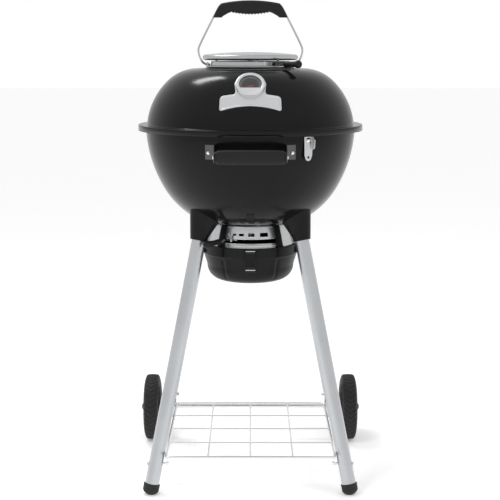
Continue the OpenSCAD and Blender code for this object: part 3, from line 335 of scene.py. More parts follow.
TICK = finish("dial_print", (0.62, 0.62, 0.62), rough=0.5, scale=300, tint=0.08, bump=0.02)
GLASS = bpy.data.materials.new("clear_glass")
GLASS.use_nodes = True
glass = GLASS.node_tree.nodes["Principled BSDF"]
for socket, value in (("Transmission Weight", 1.0), ("Roughness", 0.02), ("IOR", 1.45)):
    glass.inputs[socket].default_value = value
print("finishes:", len(bpy.data.materials))

# %% [markdown]
# Sheet steel keeps one thickness wherever it is pressed, so the lid is drawn as its outer face only, turned, and
# given its wall by a Solidify modifier. The wall is three arcs that run into each other without a kink: a steep
# shoulder, a tight turn and the nearly flat crown. Four windows under the vent cap let the smoke out.

# %% The lid
def dished(radius, radii, slopes, count=26):
    """A wall of arcs, from its rim inwards, as (radius, distance from the rim). Each arc starts where the one
    before ends and leaves it in the same direction; slopes are in degrees from the vertical."""
    at, line = np.array([radius, 0.0]), []
    for r, a, b in zip(radii, slopes[:-1], slopes[1:]):
        centre = at - r * np.array([math.cos(math.radians(a)), math.sin(math.radians(a))])
        part = arc(centre, r, a, b, count)
        line.append(part if not line else part[1:])
        at = part[-1]
    return np.vstack(line)


def sheet_turned(profile, windows=(), count=240):
    """An open profile turned into a single face of sheet, without the quads whose middle lies in a window. A
    window is (first radius, last radius, middle azimuth, half width) with angles in degrees."""
    points, faces = turned(profile, count, closed=False)
    middle = points[faces].mean(1) - AXIS
    r = np.hypot(middle[:, 0], middle[:, 1])
    azimuth = azimuth_of(middle)
    keep = np.ones(len(faces), bool)
    for r0, r1, a, half in windows:
        off = (azimuth - a + 180) % 360 - 180
        keep &= ~((r > r0) & (r < r1) & (np.abs(off) < half))
    return points, faces[keep]


def walled(obj, thickness):
    """Gives a sheet its thickness, on the side that its faces point away from."""
    wall = obj.modifiers.new("wall", "SOLIDIFY")
    wall.thickness = thickness
    wall.offset = -1


LID_R, LIP_H = 267.9 * MM, 14.7 * MM
LID_RADII, LID_SLOPES = (178.5 * MM, 112 * MM), (5.2, 46.8, 86)
shoulder = dished(LID_R, LID_RADII, LID_SLOPES)
crown_r = shoulder[-1, 0] / math.cos(math.radians(LID_SLOPES[2]))


def crown_height(r):
    """Height of the crown's outer face at a radius, on its large sphere."""
    return CROWN_Z - crown_r + np.sqrt(crown_r**2 - np.asarray(r) ** 2)


wall_line = np.stack([shoulder[:, 0], shoulder[:, 1] + LEDGE_Z], 1)
ledge = LEDGE_Z + SHEET
lip = filleted([[LIP_R, ledge - LIP_H], [LIP_R, ledge], [LID_R - 0.4 * MM, ledge], wall_line[2]],
               [0, 3.2 * MM, 4 * MM, 0], 8)
VENT_IN, VENT_OUT = 45 * MM, 82 * MM
inner = np.r_[np.linspace(shoulder[-1, 0], VENT_OUT, 12)[1:], np.linspace(VENT_OUT, VENT_IN, 9)[1:],
              np.linspace(VENT_IN, 0, 9)[1:]]
crown = np.stack([inner, crown_height(inner)], 1)
lid_line = np.vstack([lip, wall_line[3:], crown])
vents = [(VENT_IN, VENT_OUT, a, 20) for a in (45, 135, 225, 315)]
lid = piece("lid_enamel", sheet_turned(lid_line, vents), "lid", ENAMEL, "lid_shell", solid=False, sharp=60)
walled(lid, SHEET)

# %% [markdown]
# The bowl is the same kind of pressing, the other way up: three arcs from a nearly upright wall to a flat floor
# with three ash slots. Its rim is rolled over a bead that the lid sits on.

# %% The bowl
WALL_Z = RIM_Z - 3 * MM
BOWL_R = 270.6 * MM
bowl_arcs = dished(BOWL_R, (331 * MM, 222 * MM, 115 * MM), (1.5, 30.2, 52, 90), 30)
SLOT_IN, SLOT_OUT, PIVOT_HOLE = 32 * MM, 84 * MM, 5.2 * MM
floor_in = np.r_[np.linspace(bowl_arcs[-1, 0], SLOT_OUT, 4)[1:], np.linspace(SLOT_OUT, SLOT_IN, 9)[1:],
                 np.linspace(SLOT_IN, PIVOT_HOLE, 6)[1:]]
bowl_line = np.vstack([bowl_arcs, np.stack([floor_in, 0 * floor_in + bowl_arcs[-1, 1]], 1)])
bowl_line = np.stack([bowl_line[:, 0], WALL_Z - bowl_line[:, 1]], 1)[::-1]
slots = [(SLOT_IN, SLOT_OUT, a + 60, 25) for a in (0, 120, 240)]
bowl = piece("bowl_enamel", sheet_turned(bowl_line, slots), "stand", ENAMEL, "bowl", solid=False, sharp=60)
walled(bowl, SHEET)
bead = turned(arc((BOWL_R + 3 * MM, RIM_Z - 6 * MM), 6 * MM, 0, 345, 24))
piece("bowl_rim_bead", bead, "stand", ENAMEL)


# %% [markdown]
# The vent cap is spun from one disc: a shallow dome whose edge is rolled into a tight bead. Under it a straight
# collar stands on a flange that is clamped to the lid, with a slot for the damper's lever and a lapped seam.

# %% The vent cap and its collar
CAP_TOP, CAP_LOW = high("vent_cap")[2], low("vent_cap")[2]
CAP_R = high("vent_cap")[0]
BEAD = 7 * MM
rolled = CAP_R - BEAD
rise = CAP_TOP - CAP_LOW - 2 * BEAD
dome_r = (rolled**2 + rise**2) / (2 * rise)


def dome(r, drop=0.0):
    """Height of the cap's dome at a radius, `drop` below its outer face."""
    return CAP_TOP - drop - dome_r + np.sqrt(dome_r**2 - r**2)


r = np.linspace(0, rolled - 4 * MM, 30)
under = np.linspace(rolled - 6 * MM, 0, 20)
cap_line = np.vstack([np.stack([r, dome(r)], 1), arc((rolled, CAP_LOW + BEAD), BEAD, 84, -195, 34),
                      np.stack([under, dome(under, 1.5 * MM)], 1)])
piece("vent_cap_spun", turned(cap_line, 256, closed=False), "lid", SPUN, "vent_cap", sharp=50)

COLLAR_R = 101.8 * MM
COLLAR_TOP = CROWN_Z + 13.6 * MM
LEVER_Z = CROWN_Z + 7.4 * MM
post_line = np.array([[COLLAR_R - 0.6 * MM, COLLAR_TOP - 0.4 * MM], [COLLAR_R, COLLAR_TOP - 0.8 * MM],
                      [COLLAR_R, LEVER_Z + 4.2 * MM], [COLLAR_R, LEVER_Z], [COLLAR_R, LEVER_Z - 4.2 * MM],
                      [COLLAR_R, CROWN_Z + 1.6 * MM]])
foot_line = filleted([[COLLAR_R, CROWN_Z + 1.6 * MM], [COLLAR_R, CROWN_Z + 0.6 * MM],
                      [COLLAR_R + 9 * MM, CROWN_Z + 0.1 * MM]], [0, 1 * MM, 0], 5)[1:]
roll = arc((COLLAR_R + 11 * MM, CROWN_Z + 0.2 * MM), 2.2 * MM, 160, -60, 12)
collar_points, collar_faces = turned(np.vstack([post_line, foot_line, roll])[::-1], 288, closed=False)
middle = collar_points[collar_faces].mean(1) - AXIS
azimuth = azimuth_of(middle)
in_slot = (np.abs(azimuth - 58) < 25) & (np.abs(middle[:, 2] - LEVER_Z) < 4.2 * MM)
collar = piece("vent_collar_sheet", (collar_points, collar_faces[~in_slot]), "lid", SPUN, "vent_collar",
               solid=False, sharp=40)
walled(collar, 1.2 * MM)
lugs = [block((5 * MM, 13 * MM, 13 * MM), AXIS + [s * 110 * MM, 0, PIVOT_Z - 1 * MM], 7, 20) for s in (-1, 1)]
seam_at = facing(20.6, COLLAR_R + 0.3 * MM, CROWN_Z + 7 * MM)
seam = block((7 * MM, 0.9 * MM, 12.6 * MM), seam_at.pop("origin"), 10, 16, **seam_at)
piece("collar_lugs", joined(*lugs, seam), "lid", BRUSHED)
print("cap from", round(CAP_LOW, 4), "to", round(CAP_TOP, 4))

# %% [markdown]
# The bail is one bent rod with a moulded grip. The rod's bends come from cutting the corners of a coarse line
# again and again. The grip is a rounded section carried from side to side, whose top follows an arch and whose
# underside is waved into finger ribs.

# %% The lid bail
def softened(line, rounds=3):
    """A line with its corners cut: each side gives the points at a quarter and three quarters of its length."""
    p = np.asarray(line, float)
    for _ in range(rounds):
        a, b = p[:-1], p[1:]
        cut = np.stack([0.75 * a + 0.25 * b, 0.25 * a + 0.75 * b], 1).reshape(-1, p.shape[1])
        p = np.vstack([p[:1], cut, p[-1:]])
    return p


BAIL_TOP = high("bail_grip")[2]
GRIP_FOOT = low("bail_grip")[2]
GRIP_HALF = high("bail_grip")[0]
bend = np.array([[104, 0], [115, 0], [125, 7], [131.5, 21], [134.4, 35], [131.5, 48], [91, 126], [80, 146]]) * MM
reach, rise = softened(bend).T
arms = [tube(np.stack([s * reach, 0 * reach + AXIS[1], rise + PIVOT_Z], 1), 2.5 * MM, 16) for s in (-1, 1)]
piece("bail_rod", joined(*arms), "lid_bail", STEEL, "bail_wire")

u = np.sin(np.linspace(-np.pi / 2, np.pi / 2, 261))[:, None]
BEND_X, RIBS_X, RIB_PITCH, ARCH_DROP = 74 * MM, 54 * MM, 8 * MM, 8 * MM
x = u * GRIP_HALF
side = np.clip((np.abs(x) - BEND_X) / (GRIP_HALF - BEND_X), 0, 1)
arch = ARCH_DROP * np.minimum(np.abs(x) / (76.3 * MM), 1) ** 2
top = BAIL_TOP - arch - (BAIL_TOP - ARCH_DROP - GRIP_FOOT) * side**1.5
rib_zone = np.clip((RIBS_X - np.abs(x)) / (4 * MM), 0, 1)
under = (GRIP_FOOT + 14.5 * MM * np.clip((BEND_X - np.abs(x)) / (24 * MM), 0, 1) ** 0.8
         - 6 * MM * np.cos(np.clip(np.abs(x) / RIBS_X, 0, 1) * np.pi / 2)
         + 1.1 * MM * rib_zone * np.cos(2 * np.pi * x / RIB_PITCH))
half_high = np.maximum((top - under) / 2, 0.01 * MM)
ribbed = 1 - 0.10 * rib_zone * (1 - np.abs(np.cos(np.pi * x / RIB_PITCH)))
half_deep = 12.5 * MM * (1 - 0.35 * side**2) * ribbed
v = np.linspace(0, 2 * np.pi, 48, endpoint=False)[None, :]
bail_grip = grid(np.stack([x + 0 * v, AXIS[1] + half_deep * bent(np.cos(v), 3.2),
                           (top + under) / 2 + half_high * bent(np.sin(v), 4.5)], -1), False, True)
piece("bail_grip_moulded", bail_grip, "lid_bail", GRIP, "bail_grip", sharp=50)

# %% [markdown]
# The badge is a chrome pressing wrapped on the lid's shoulder under the thermometer. Its outline is drawn on a
# flat plane, shrunk ring by ring towards its middle, and each ring is dropped onto the lid's arc at its own
# height: a bevelled edge, a raised border and a lower field.

# %% The badge and the thermometer's face
SLOPE = math.radians(43)
shoulder_centre = np.array([LID_R - LID_RADII[0] * math.cos(math.radians(LID_SLOPES[0])),
                            LEDGE_Z - LID_RADII[0] * math.sin(math.radians(LID_SLOPES[0]))])
on_arc = shoulder_centre + LID_RADII[0] * np.array([math.cos(SLOPE), math.sin(SLOPE)])
GAUGE = {"origin": AXIS + [0, -on_arc[0], on_arc[1]], "x": (1, 0, 0),
         "y": (0, math.sin(SLOPE), math.cos(SLOPE)), "z": (0, -math.cos(SLOPE), math.sin(SLOPE))}


def on_lid(flat, height):
    """Points of the dial's plane dropped onto the lid: the depth along the dial's axis at which a point's
    distance from the shoulder's centre line is the arc's radius plus the height, found by halving steps."""
    near, far_off = np.full(len(flat), -0.08), np.full(len(flat), 0.04)
    for _ in range(30):
        mid = (near + far_off) / 2
        p = place(np.column_stack([flat, mid]), **GAUGE) - AXIS
        out = np.hypot(np.hypot(p[:, 0], p[:, 1]) - shoulder_centre[0], p[:, 2] - shoulder_centre[1])
        outside = out > LID_RADII[0] + height
        near, far_off = np.where(outside, near, mid), np.where(outside, mid, far_off)
    return place(np.column_stack([flat, near]), **GAUGE)


pad = arc((0, 0), 39 * MM, 90, 12, 10)
corner = filleted(np.array([[36, -16], [38, -24], [73.5, -25], [75, -62], [38, -57.5], [0, -56]]) * MM,
                  np.array([0, 9, 9, 8, 20, 0]) * MM, 10)
right = np.vstack([pad, corner])
outline = np.vstack([right, (right * [-1, 1])[::-1][1:-1]])
step = np.cumsum(np.r_[0, np.linalg.norm(np.diff(np.vstack([outline, outline[:1]]), axis=0), axis=1)])
even = np.linspace(0, step[-1], 300, endpoint=False)
outline = np.stack([np.interp(even, step, np.r_[outline[:, k], outline[0, k]]) for k in (0, 1)], 1)
along = np.roll(outline, -1, 0) - np.roll(outline, 1, 0)
inward = np.stack([along[:, 1], -along[:, 0]], 1) / np.linalg.norm(along, axis=1)[:, None]
levels = [(0, -0.3), (0, 1.6), (0.3, 2.2), (0.9, 2.5), (3.0, 2.5), (3.6, 2.2), (4.0, 1.5)]
rings = [on_lid(outline + inward * off * MM, h * MM) for off, h in levels]
field = outline + inward * 4.0 * MM
spine = np.stack([field[:, 0] * 0.96, np.full(len(field), -42 * MM)], 1)
rings += [on_lid(field + (spine - field) * t, 1.5 * MM) for t in (0.3, 0.6, 0.85, 1.0)]
badge = grid(np.stack(rings, 0), False, True)
piece("badge_pressing", badge, "lid", SATIN_CHROME, "badge_plate", solid=False, sharp=50)

brim = np.array([[36, -4], [36, 6.6], [35.5, 8.4], [34.2, 9.5], [32.6, 9.6], [31.2, 9.3], [30.3, 9.1]]) * MM
a = np.linspace(0, 2 * np.pi, 240, endpoint=False)
window = np.stack([27.5 * np.cos(a), 27.5 * np.sin(a)], 1) * MM
window[:, 1] = np.maximum(window[:, 1], -12 * MM)
circle = np.stack([np.cos(a), np.sin(a)], 1)
bezel_rings = [np.column_stack([circle * r, np.full(240, h)]) for r, h in brim]
edge = window / np.linalg.norm(window, axis=1)[:, None]
for grow, h in ((1.4, 9.0), (0.5, 8.9), (0, 8.5), (0, 6.4)):
    bezel_rings.append(np.column_stack([window + edge * grow * MM, np.full(240, h * MM)]))
for r, h in ((31, 6.4), (31, -4)):
    bezel_rings.append(np.column_stack([circle * r * MM, np.full(240, h * MM)]))
bezel = grid(place(np.stack(bezel_rings, 0), **GAUGE), True, True)
piece("thermometer_bezel", bezel, "lid", SATIN_CHROME, "gauge_bezel", sharp=40)
dial_z = 4.25 * MM
SCALE_FROM, SCALE_TO, TICK_OUT = 198, -18, 24 * MM
angles = np.radians(np.linspace(SCALE_FROM, SCALE_TO, 37))
long_tick = np.arange(37) % 3 == 0
inner_r = np.where(long_tick, 19.0, 21.4) * MM
half_w = np.where(long_tick, 0.55, 0.3) * MM
radial, across = np.stack([np.cos(angles), np.sin(angles)], 1), np.stack([-np.sin(angles), np.cos(angles)], 1)
corners = np.stack([radial * inner_r[:, None] - across * half_w[:, None],
                    radial * TICK_OUT - across * half_w[:, None], radial * TICK_OUT + across * half_w[:, None],
                    radial * inner_r[:, None] + across * half_w[:, None]], 1).reshape(-1, 2)
tick_points = place(np.column_stack([corners, np.full(len(corners), dial_z)]), **GAUGE)
scale_a = np.radians(np.linspace(SCALE_FROM, SCALE_TO, 90))
scale_ring = [np.column_stack([np.cos(scale_a) * r * MM, np.sin(scale_a) * r * MM, np.full(90, dial_z)])
              for r in (24.6, 25.6)]
ticks = joined((tick_points, np.arange(len(tick_points)).reshape(-1, 4)),
               grid(place(np.stack(scale_ring, 0)[:, ::-1], **GAUGE)))
piece("dial_scale", ticks, "lid", TICK, solid=False)

# %% [markdown]
# The front grip is a moulded bar, a little fuller in the middle, with a narrower collar at each end where the
# sheet brackets hold it.

# %% The front grip
grip_low, grip_high = low("front_grip"), high("front_grip")
grip_mid, grip_size = (grip_low + grip_high) / 2, grip_high - grip_low
u = np.linspace(-1, 1, 181)[:, None]
collar_end = np.clip((np.abs(u) - 0.925) / 0.02, 0, 1)
closing = np.sqrt(np.clip(1 - np.clip((np.abs(u) - 0.985) / 0.015, 0, 1) ** 2, 0, 1))
swell = (1 - 0.10 * u**4) * (1 - 0.16 * collar_end) * np.maximum(closing, 0.001)
v = np.linspace(0, 2 * np.pi, 56, endpoint=False)[None, :]
front_grip = grid(grip_mid + np.stack([
    u * grip_size[0] / 2 + 0 * v, swell * grip_size[1] / 2 * bent(np.cos(v), 3),
    swell * grip_size[2] / 2 * bent(np.sin(v), 3.4)], -1), False, True)
piece("front_grip_moulded", front_grip, "stand", GRIP, "front_grip", sharp=50)


# %% [markdown]
# Both air levers end in a moulded grip: a rod-like body with a shallow waist that runs into a ball, with a small
# dimple in the ball's end.

# %% The lever grips
def lever_grip(azimuth, start, end, z):
    """A profile of (distance along the lever, radius) turned about the lever's own line."""
    body_r, ball_r = 7.5 * MM, 10 * MM
    t = np.linspace(0, 1, 24)
    shank = np.stack([start + 1.5 * MM + (end - start - 9 * MM) * t,
                      body_r * (1 - 0.12 * np.sin(np.pi * t) ** 2)], 1)
    mouth = [[start, 0.0], [start, body_r - 1.2 * MM], [start + 0.5 * MM, body_r - 0.3 * MM]]
    ball = arc((end, 0), ball_r, 125, 24, 18)
    dimple = [[end + 8.6 * MM, 3.2 * MM], [end + 7.4 * MM, 2.4 * MM], [end + 7.2 * MM, 0.0]]
    line = np.vstack([mouth, shank, ball, dimple])
    at = facing(azimuth, 0, z)
    out = -np.array(at["y"])
    a = np.linspace(0, 2 * np.pi, 40, endpoint=False)[:, None]
    points = (at["origin"] + line[None, :, :1] * out
              + (line[None, :, 1:] * np.cos(a)[..., None]) * np.array(at["x"])
              + (line[None, :, 1:] * np.sin(a)[..., None]) * np.array([0, 0, 1]))
    return grid(points, True, False)


piece("damper_grip_moulded", lever_grip(38, 138.8 * MM, 190 * MM, LEVER_Z), "top_damper", GRIP, "damper_grip")
piece("sweep_grip_moulded", lever_grip(-35, 136 * MM, 190 * MM, GROOVE_Z), "air_control", GRIP, "sweep_grip")

# %% [markdown]
# The legs are straight aluminium tubes that lean outwards and fore and aft. Each is a ring of wall section turned
# about the leg's own line, which runs from a point on the ground to one under the bowl. The brushing in the
# finish runs nearly along that line.

# %% Legs and feet
AIM_Z = RIM_Z - 229 * MM
FOOT_X, TOP = 254.5 * MM, (120 * MM, 110 * MM)
GROUND = {-1: 232 * MM, 1: 242 * MM}


def leg_line(sx, sy):
    """The leg's own frame: origin on the ground, z up along the leg, and its length for each metre of rise."""
    foot = AXIS + [sx * FOOT_X, sy * GROUND[sy], 0]
    aim = AXIS + [sx * TOP[0], sy * TOP[1], AIM_Z]
    z = (aim - foot) / np.linalg.norm(aim - foot)
    x = np.cross((0, 1, 0), z)
    x = x / np.linalg.norm(x)
    return {"origin": foot, "x": tuple(x), "y": tuple(np.cross(z, x)), "z": tuple(z)}, 1 / z[2]


for sx, side_name in ((-1, "left"), (1, "right")):
    for sy, end_name in ((-1, "front"), (1, "rear")):
        at, slant = leg_line(sx, sy)
        start, end = (16 * MM if sy < 0 else 70 * MM * slant), (AIM_Z - 32 * MM) * slant
        r_out, r_in = 18 * MM, 16.5 * MM
        h = np.linspace(start + 0.6 * MM, end, 24)
        wall = np.vstack([[[r_in, start]], [[r_out - 0.6 * MM, start]], np.stack([0 * h + r_out, h], 1),
                          [[r_in, end]]])
        points, faces = turned(wall, 96, where=at)
        piece(f"leg_tube_{end_name}_{side_name}", (points, faces), "stand", TUBE, f"leg_{end_name}_{side_name}")
    at, slant = leg_line(sx, -1)
    cap = np.vstack([[[0, -20 * MM]], arc((0, 22 * MM), 23.4 * MM, -80, -33, 14), [[20.3 * MM, 11 * MM]],
                     [[20.3 * MM, 24 * MM]], [[20.9 * MM, 25.5 * MM]], [[20.7 * MM, 27.5 * MM]],
                     [[20.0 * MM, 28 * MM]], [[18.05 * MM, 28 * MM]], [[18.05 * MM, 20 * MM]], [[0, 20 * MM]]])
    points, faces = turned(cap, 72, closed=False, where=at)
    points[:, 2] = np.maximum(points[:, 2], 0)
    foot = piece(f"foot_cap_{side_name}", (points, faces), "stand", RUBBER, f"foot_{side_name}", weld=2e-5)

# %% [markdown]
# Each leg ends in a pressed socket that flares onto the bowl. Its section changes on the way up, from a circle
# round the leg to an oval on the bowl, along a quadratic curve: straight on the outside, and on the inside it
# first follows the leg and then sweeps towards the middle.

# %% The leg sockets
SOCKET_LOW = AIM_Z - 57 * MM
a = np.linspace(0, 2 * np.pi, 96, endpoint=False)
circle = np.column_stack([np.cos(a), np.sin(a), 0 * a])


def leg_ring(at, radius, height):
    """A ring of points round a leg, at a height along the leg's own line."""
    return place(circle * radius + [0, 0, height], **at)


for sx, side_name in ((-1, "left"), (1, "right")):
    for sy, end_name in ((-1, "front"), (1, "rear")):
        at, slant = leg_line(sx, sy)
        low_h = SOCKET_LOW * slant
        start = leg_ring(at, 22.3 * MM, low_h + 0.8 * MM)
        flat = np.array([sx * 117 * MM, sy * 107 * MM]) + circle[:, :2] * np.array([36.4, 30]) * MM
        on_bowl = np.interp(np.hypot(*flat.T), bowl_line[:, 0], bowl_line[:, 1]) + 0.5 * MM
        end = np.column_stack([flat, on_bowl]) + AXIS
        outward = (1 + sx * circle[:, :1]) / 2
        tangent = start + np.array(at["z"]) * 0.97 * (end[:, 2:] - start[:, 2:])
        bend_at = outward * (start + end) / 2 + (1 - outward) * tangent
        t = np.linspace(0, 1, 20)[:, None, None]
        sleeve = (1 - t) ** 2 * start + 2 * t * (1 - t) * bend_at + t**2 * end
        mouth = [leg_ring(at, 17.9 * MM, low_h), leg_ring(at, 21.5 * MM, low_h)]
        surface = grid(np.concatenate([mouth, sleeve], 0), True, True)
        piece(f"socket_flare_{end_name}_{side_name}", surface, "stand", SATIN_BLACK,
              f"socket_{end_name}_{side_name}")

# %% [markdown]
# The wheels stand on a fixed axle. The tyre is a rounded band whose height, measured from the wheel's own axis,
# drops by a groove wherever a zigzag line passes: the line's phase is the turn plus the distance from the middle.

# %% Treaded tyres
WHEEL_R = high("tyre_left")[2] / 2
AXLE_Y = (low("tyre_left")[1] + high("tyre_left")[1]) / 2
for s, side_name in ((-1, "left"), (1, "right")):
    node = f"tyre_{side_name}"
    lo, hi = low(node), high(node)
    centre, half = (lo + hi) / 2, (hi[0] - lo[0]) / 2
    t = np.linspace(-1, 1, 61)[None, :]
    a = np.linspace(0, 2 * np.pi, 720, endpoint=False)[:, None]
    crown_line = WHEEL_R - 2.6 * MM * t**2 - 15 * MM * np.clip((np.abs(t) - 0.62) / 0.38, 0, 1) ** 2.4
    phase = 40 * a / (2 * np.pi) + 1.15 * np.abs(t)
    wave = np.abs((phase % 1) - 0.5) * 2
    groove = 1 - np.clip((wave - 0.30) / 0.16, 0, 1)
    tread = np.clip((0.80 - np.abs(t)) / 0.05, 0, 1)
    height = crown_line - 1.9 * MM * groove * tread
    rim_r = WHEEL_R - 30 * MM
    inner_line = np.linspace(1, -1, 7)[None, :]
    across = np.hstack([t * half + 0 * a, 0.80 * inner_line * half + 0 * a])
    radius = np.hstack([height, rim_r + 0 * inner_line + 0 * a])
    points = np.stack([centre[0] + across, centre[1] + radius * np.cos(a), centre[2] + radius * np.sin(a)], -1)
    piece(f"tyre_tread_{side_name}", grid(points, True, True), f"{side_name}_wheel", RUBBER, node, sharp=60)

# %% [markdown]
# The shelf is a welded wire rack. Its frame is one bent wire, and the inner wires are laid across it and welded
# at each crossing. Small plates tie it to the legs.

# %% The wire rack
rack_half, rack_front, rack_rear = 212 * MM, -246 * MM, AXLE_Y - AXIS[1]
RACK_Z = 101.7 * MM
corners = [[-rack_half, rack_front, 0], [rack_half, rack_front, 0], [rack_half, rack_rear, 0],
           [-rack_half, rack_rear, 0]]
frame_path = filleted(corners, 9 * MM, 9, closed=True)
frame_path = place(frame_path, AXIS + [0, 0, RACK_Z])
wires = [tube(frame_path, 3.5 * MM, 16, True, (0, 0, 1))]
INNER_WIRE = (2.4 * MM, 14, False, (0, 0, 1))
for i in (1, 2, 3):
    at_x = -rack_half + i * rack_half / 2
    at_y = rack_front + i * (rack_rear - rack_front) / 4
    wires.append(tube(straight(AXIS + [at_x, rack_front + 1 * MM, RACK_Z + 1 * MM],
                               AXIS + [at_x, rack_rear - 1 * MM, RACK_Z + 1 * MM]), *INNER_WIRE))
    wires.append(tube(straight(AXIS + [-rack_half + 1 * MM, at_y, RACK_Z - 1 * MM],
                               AXIS + [rack_half - 1 * MM, at_y, RACK_Z - 1 * MM]), *INNER_WIRE))
piece("rack_wires", joined(*wires), "stand", WIRE, "wire_rack")
tabs = []
for sx in (-1, 1):
    for sy, bolt_z in ((-1, RACK_Z - 25 * MM), (1, RACK_Z + 30 * MM)):
        at_y = sy * (GROUND[sy] + (TOP[1] - GROUND[sy]) * bolt_z / AIM_Z)
        ends = (bolt_z - 7 * MM, RACK_Z + 2 * MM) if sy < 0 else (RACK_Z - 1 * MM, bolt_z + 7 * MM)
        inner_x = rack_half + 1.2 * MM
        tabs.append(block((2.4 * MM, 14 * MM, ends[1] - ends[0]),
                          AXIS + [sx * inner_x, at_y, sum(ends) / 2], 10, 16))
piece("rack_tabs", joined(*tabs), "stand", WIRE)

# %% [markdown]
# The vent housing under the bowl is a flaring band of stainless sheet. Its grid of azimuth and height is laid
# out so that lines fall exactly on the edges of the five air openings, which grow from left to right, and on the
# lever's groove. The quads inside them are left out, and Solidify gives the band its thickness.

# %% The vent housing
HOUSING_R = (104 * MM, 118 * MM)


def housing_radius(z):
    """Outer radius of the housing at a height: a straight flare from the flange to the hem."""
    return HOUSING_R[0] + (FLANGE_Z - np.asarray(z)) * (HOUSING_R[1] - HOUSING_R[0]) / (54 * MM)


opening_z = FLANGE_Z - 21 * MM
openings = []
for i in range(5):
    w, h = (4.3 + 3.85 * i) * MM, (3.2 + 1.75 * i) * MM
    x0 = (-51 + 10.5 * i + 3.65 * i * (i - 1)) * MM
    r = housing_radius(opening_z)
    ends = [math.degrees(math.asin((x0 + k * w / 2) / r)) for k in (-1, 1)]
    openings.append((ends[0], ends[1], opening_z - h / 2, opening_z + h / 2))
groove = (-37, 37, GROOVE_Z - 5 * MM, GROOVE_Z + 5 * MM)
rear = [(a - 14, a + 14, FLANGE_Z - 27 * MM, FLANGE_Z - 15 * MM) for a in (130, 180, -130)]
cuts = [*openings, groove, *rear]


def lines(values, low_end, high_end, gap):
    """Grid lines: the given values, and even steps between them no wider than the gap."""
    marks = np.unique(np.round(np.r_[low_end, high_end, values], 7))
    steps = [np.linspace(a, b, max(2, int(np.ceil((b - a) / gap)) + 1))[:-1] for a, b in zip(marks, marks[1:])]
    return np.r_[np.concatenate(steps), high_end]


az = lines([c[k] for c in cuts for k in (0, 1)], -180, 180, 3.0)[:-1]
zs = lines([c[k] for c in cuts for k in (2, 3)], HEM_Z, FLANGE_Z - 1 * MM, 4 * MM)[::-1]
skirt = np.stack([housing_radius(zs), zs], 1)
top_edge = filleted([[90 * MM, FLANGE_Z], [104 * MM, FLANGE_Z], skirt[0]], [0, 1.5 * MM, 0], 6)
hem = [[HOUSING_R[1], HEM_Z - 8 * MM]]
band = np.vstack([top_edge[:-1], skirt, hem])[::-1]
a = np.radians(az)[:, None]
points = np.stack([band[:, 0] * np.sin(a), -band[:, 0] * np.cos(a), band[:, 1] + 0 * a], -1) + AXIS
points, faces = grid(points, True, False)
middle = points[faces].mean(1) - AXIS
m_az = azimuth_of(middle)
keep = np.ones(len(faces), bool)
for a0, a1, z0, z1 in cuts:
    keep &= ~((m_az > a0) & (m_az < a1) & (middle[:, 2] > z0) & (middle[:, 2] < z1))
housing = piece("vent_housing_sheet", (points, faces[keep]), "stand", BRUSHED, "vent_housing", solid=False,
                sharp=40)
walled(housing, 1.5 * MM)
print("housing grid", len(az), "by", len(band))

# %% [markdown]
# Pressed beads and raised rims stiffen thin sheet, and they catch the light as fine bright lines. Each is a thin
# wire that lies on the housing: along the band's edges, and round every opening.

# %% Beads and window rims
def on_housing(azimuths, heights, proud=0.0):
    """Points on the housing's outer face at azimuths in degrees and heights."""
    a, r = np.radians(azimuths), housing_radius(heights) + proud
    return AXIS + np.stack([r * np.sin(a), -r * np.cos(a), heights + 0 * a], 1)


trim = []
span = np.linspace(-34, 34, 60)
for z in (FLANGE_Z - 2.4 * MM, GROOVE_Z + 6.2 * MM, GROOVE_Z - 6.2 * MM, HEM_Z + 1.4 * MM, GROOVE_Z - 9 * MM):
    trim.append(tube(on_housing(span, np.full(60, z), -0.2 * MM), 0.9 * MM, 8, False, (0, 0, 1)))
for a0, a1, z0, z1 in openings:
    loop = np.array([[a0 - 0.35, z0 - 0.7 * MM], [a1 + 0.35, z0 - 0.7 * MM], [a1 + 0.35, z1 + 0.7 * MM],
                     [a0 - 0.35, z1 + 0.7 * MM]])
    closed_loop = np.vstack([loop, loop[:1]])
    t = np.linspace(0, 4, 41)[:-1]
    path = on_housing(np.interp(t, np.arange(5), closed_loop[:, 0]), np.interp(t, np.arange(5), closed_loop[:, 1]))
    out = path.mean(0) - AXIS
    trim.append(tube(path, 0.7 * MM, 8, True, (out[0], out[1], 0)))
piece("housing_trim", joined(*trim), "stand", CHROME)

# %% [markdown]
# The ash bucket is drawn from one sheet: a straight rim band, a small step, a wall that runs into a large round
# knuckle, and a flat floor. Two shallow flutes run down its front.

# %% The ash bucket
BUCKET_R, BUCKET_FLOOR = 124 * MM, low("ash_bucket")[2]
BAND_LOW = HEM_Z - 27 * MM
foot_r = BUCKET_R - 10.5 * MM
KNUCKLE = 40 * MM
line = np.vstack([
    [[BUCKET_R - 0.6 * MM, HEM_Z - 0.4 * MM]], [[BUCKET_R, HEM_Z - 1.2 * MM]],
    np.stack([np.full(8, BUCKET_R), np.linspace(HEM_Z - 3 * MM, BAND_LOW + 1 * MM, 8)], 1),
    [[BUCKET_R - 0.4 * MM, BAND_LOW - 0.2 * MM]], [[BUCKET_R - 2 * MM, BAND_LOW - 1.4 * MM]],
    np.stack([np.linspace(BUCKET_R - 2.4 * MM, foot_r + 0.2 * MM, 14),
              np.linspace(BAND_LOW - 4 * MM, BUCKET_FLOOR + KNUCKLE + 1 * MM, 14)], 1),
    arc((foot_r - KNUCKLE, BUCKET_FLOOR + KNUCKLE), KNUCKLE, 0, -90, 18),
    np.stack([np.linspace(foot_r - KNUCKLE - 4 * MM, 0, 10), np.full(10, BUCKET_FLOOR)], 1)])
points, faces = turned(line[::-1], 288, closed=False)
rel = points - AXIS
m_az = azimuth_of(rel)
z = rel[:, 2]
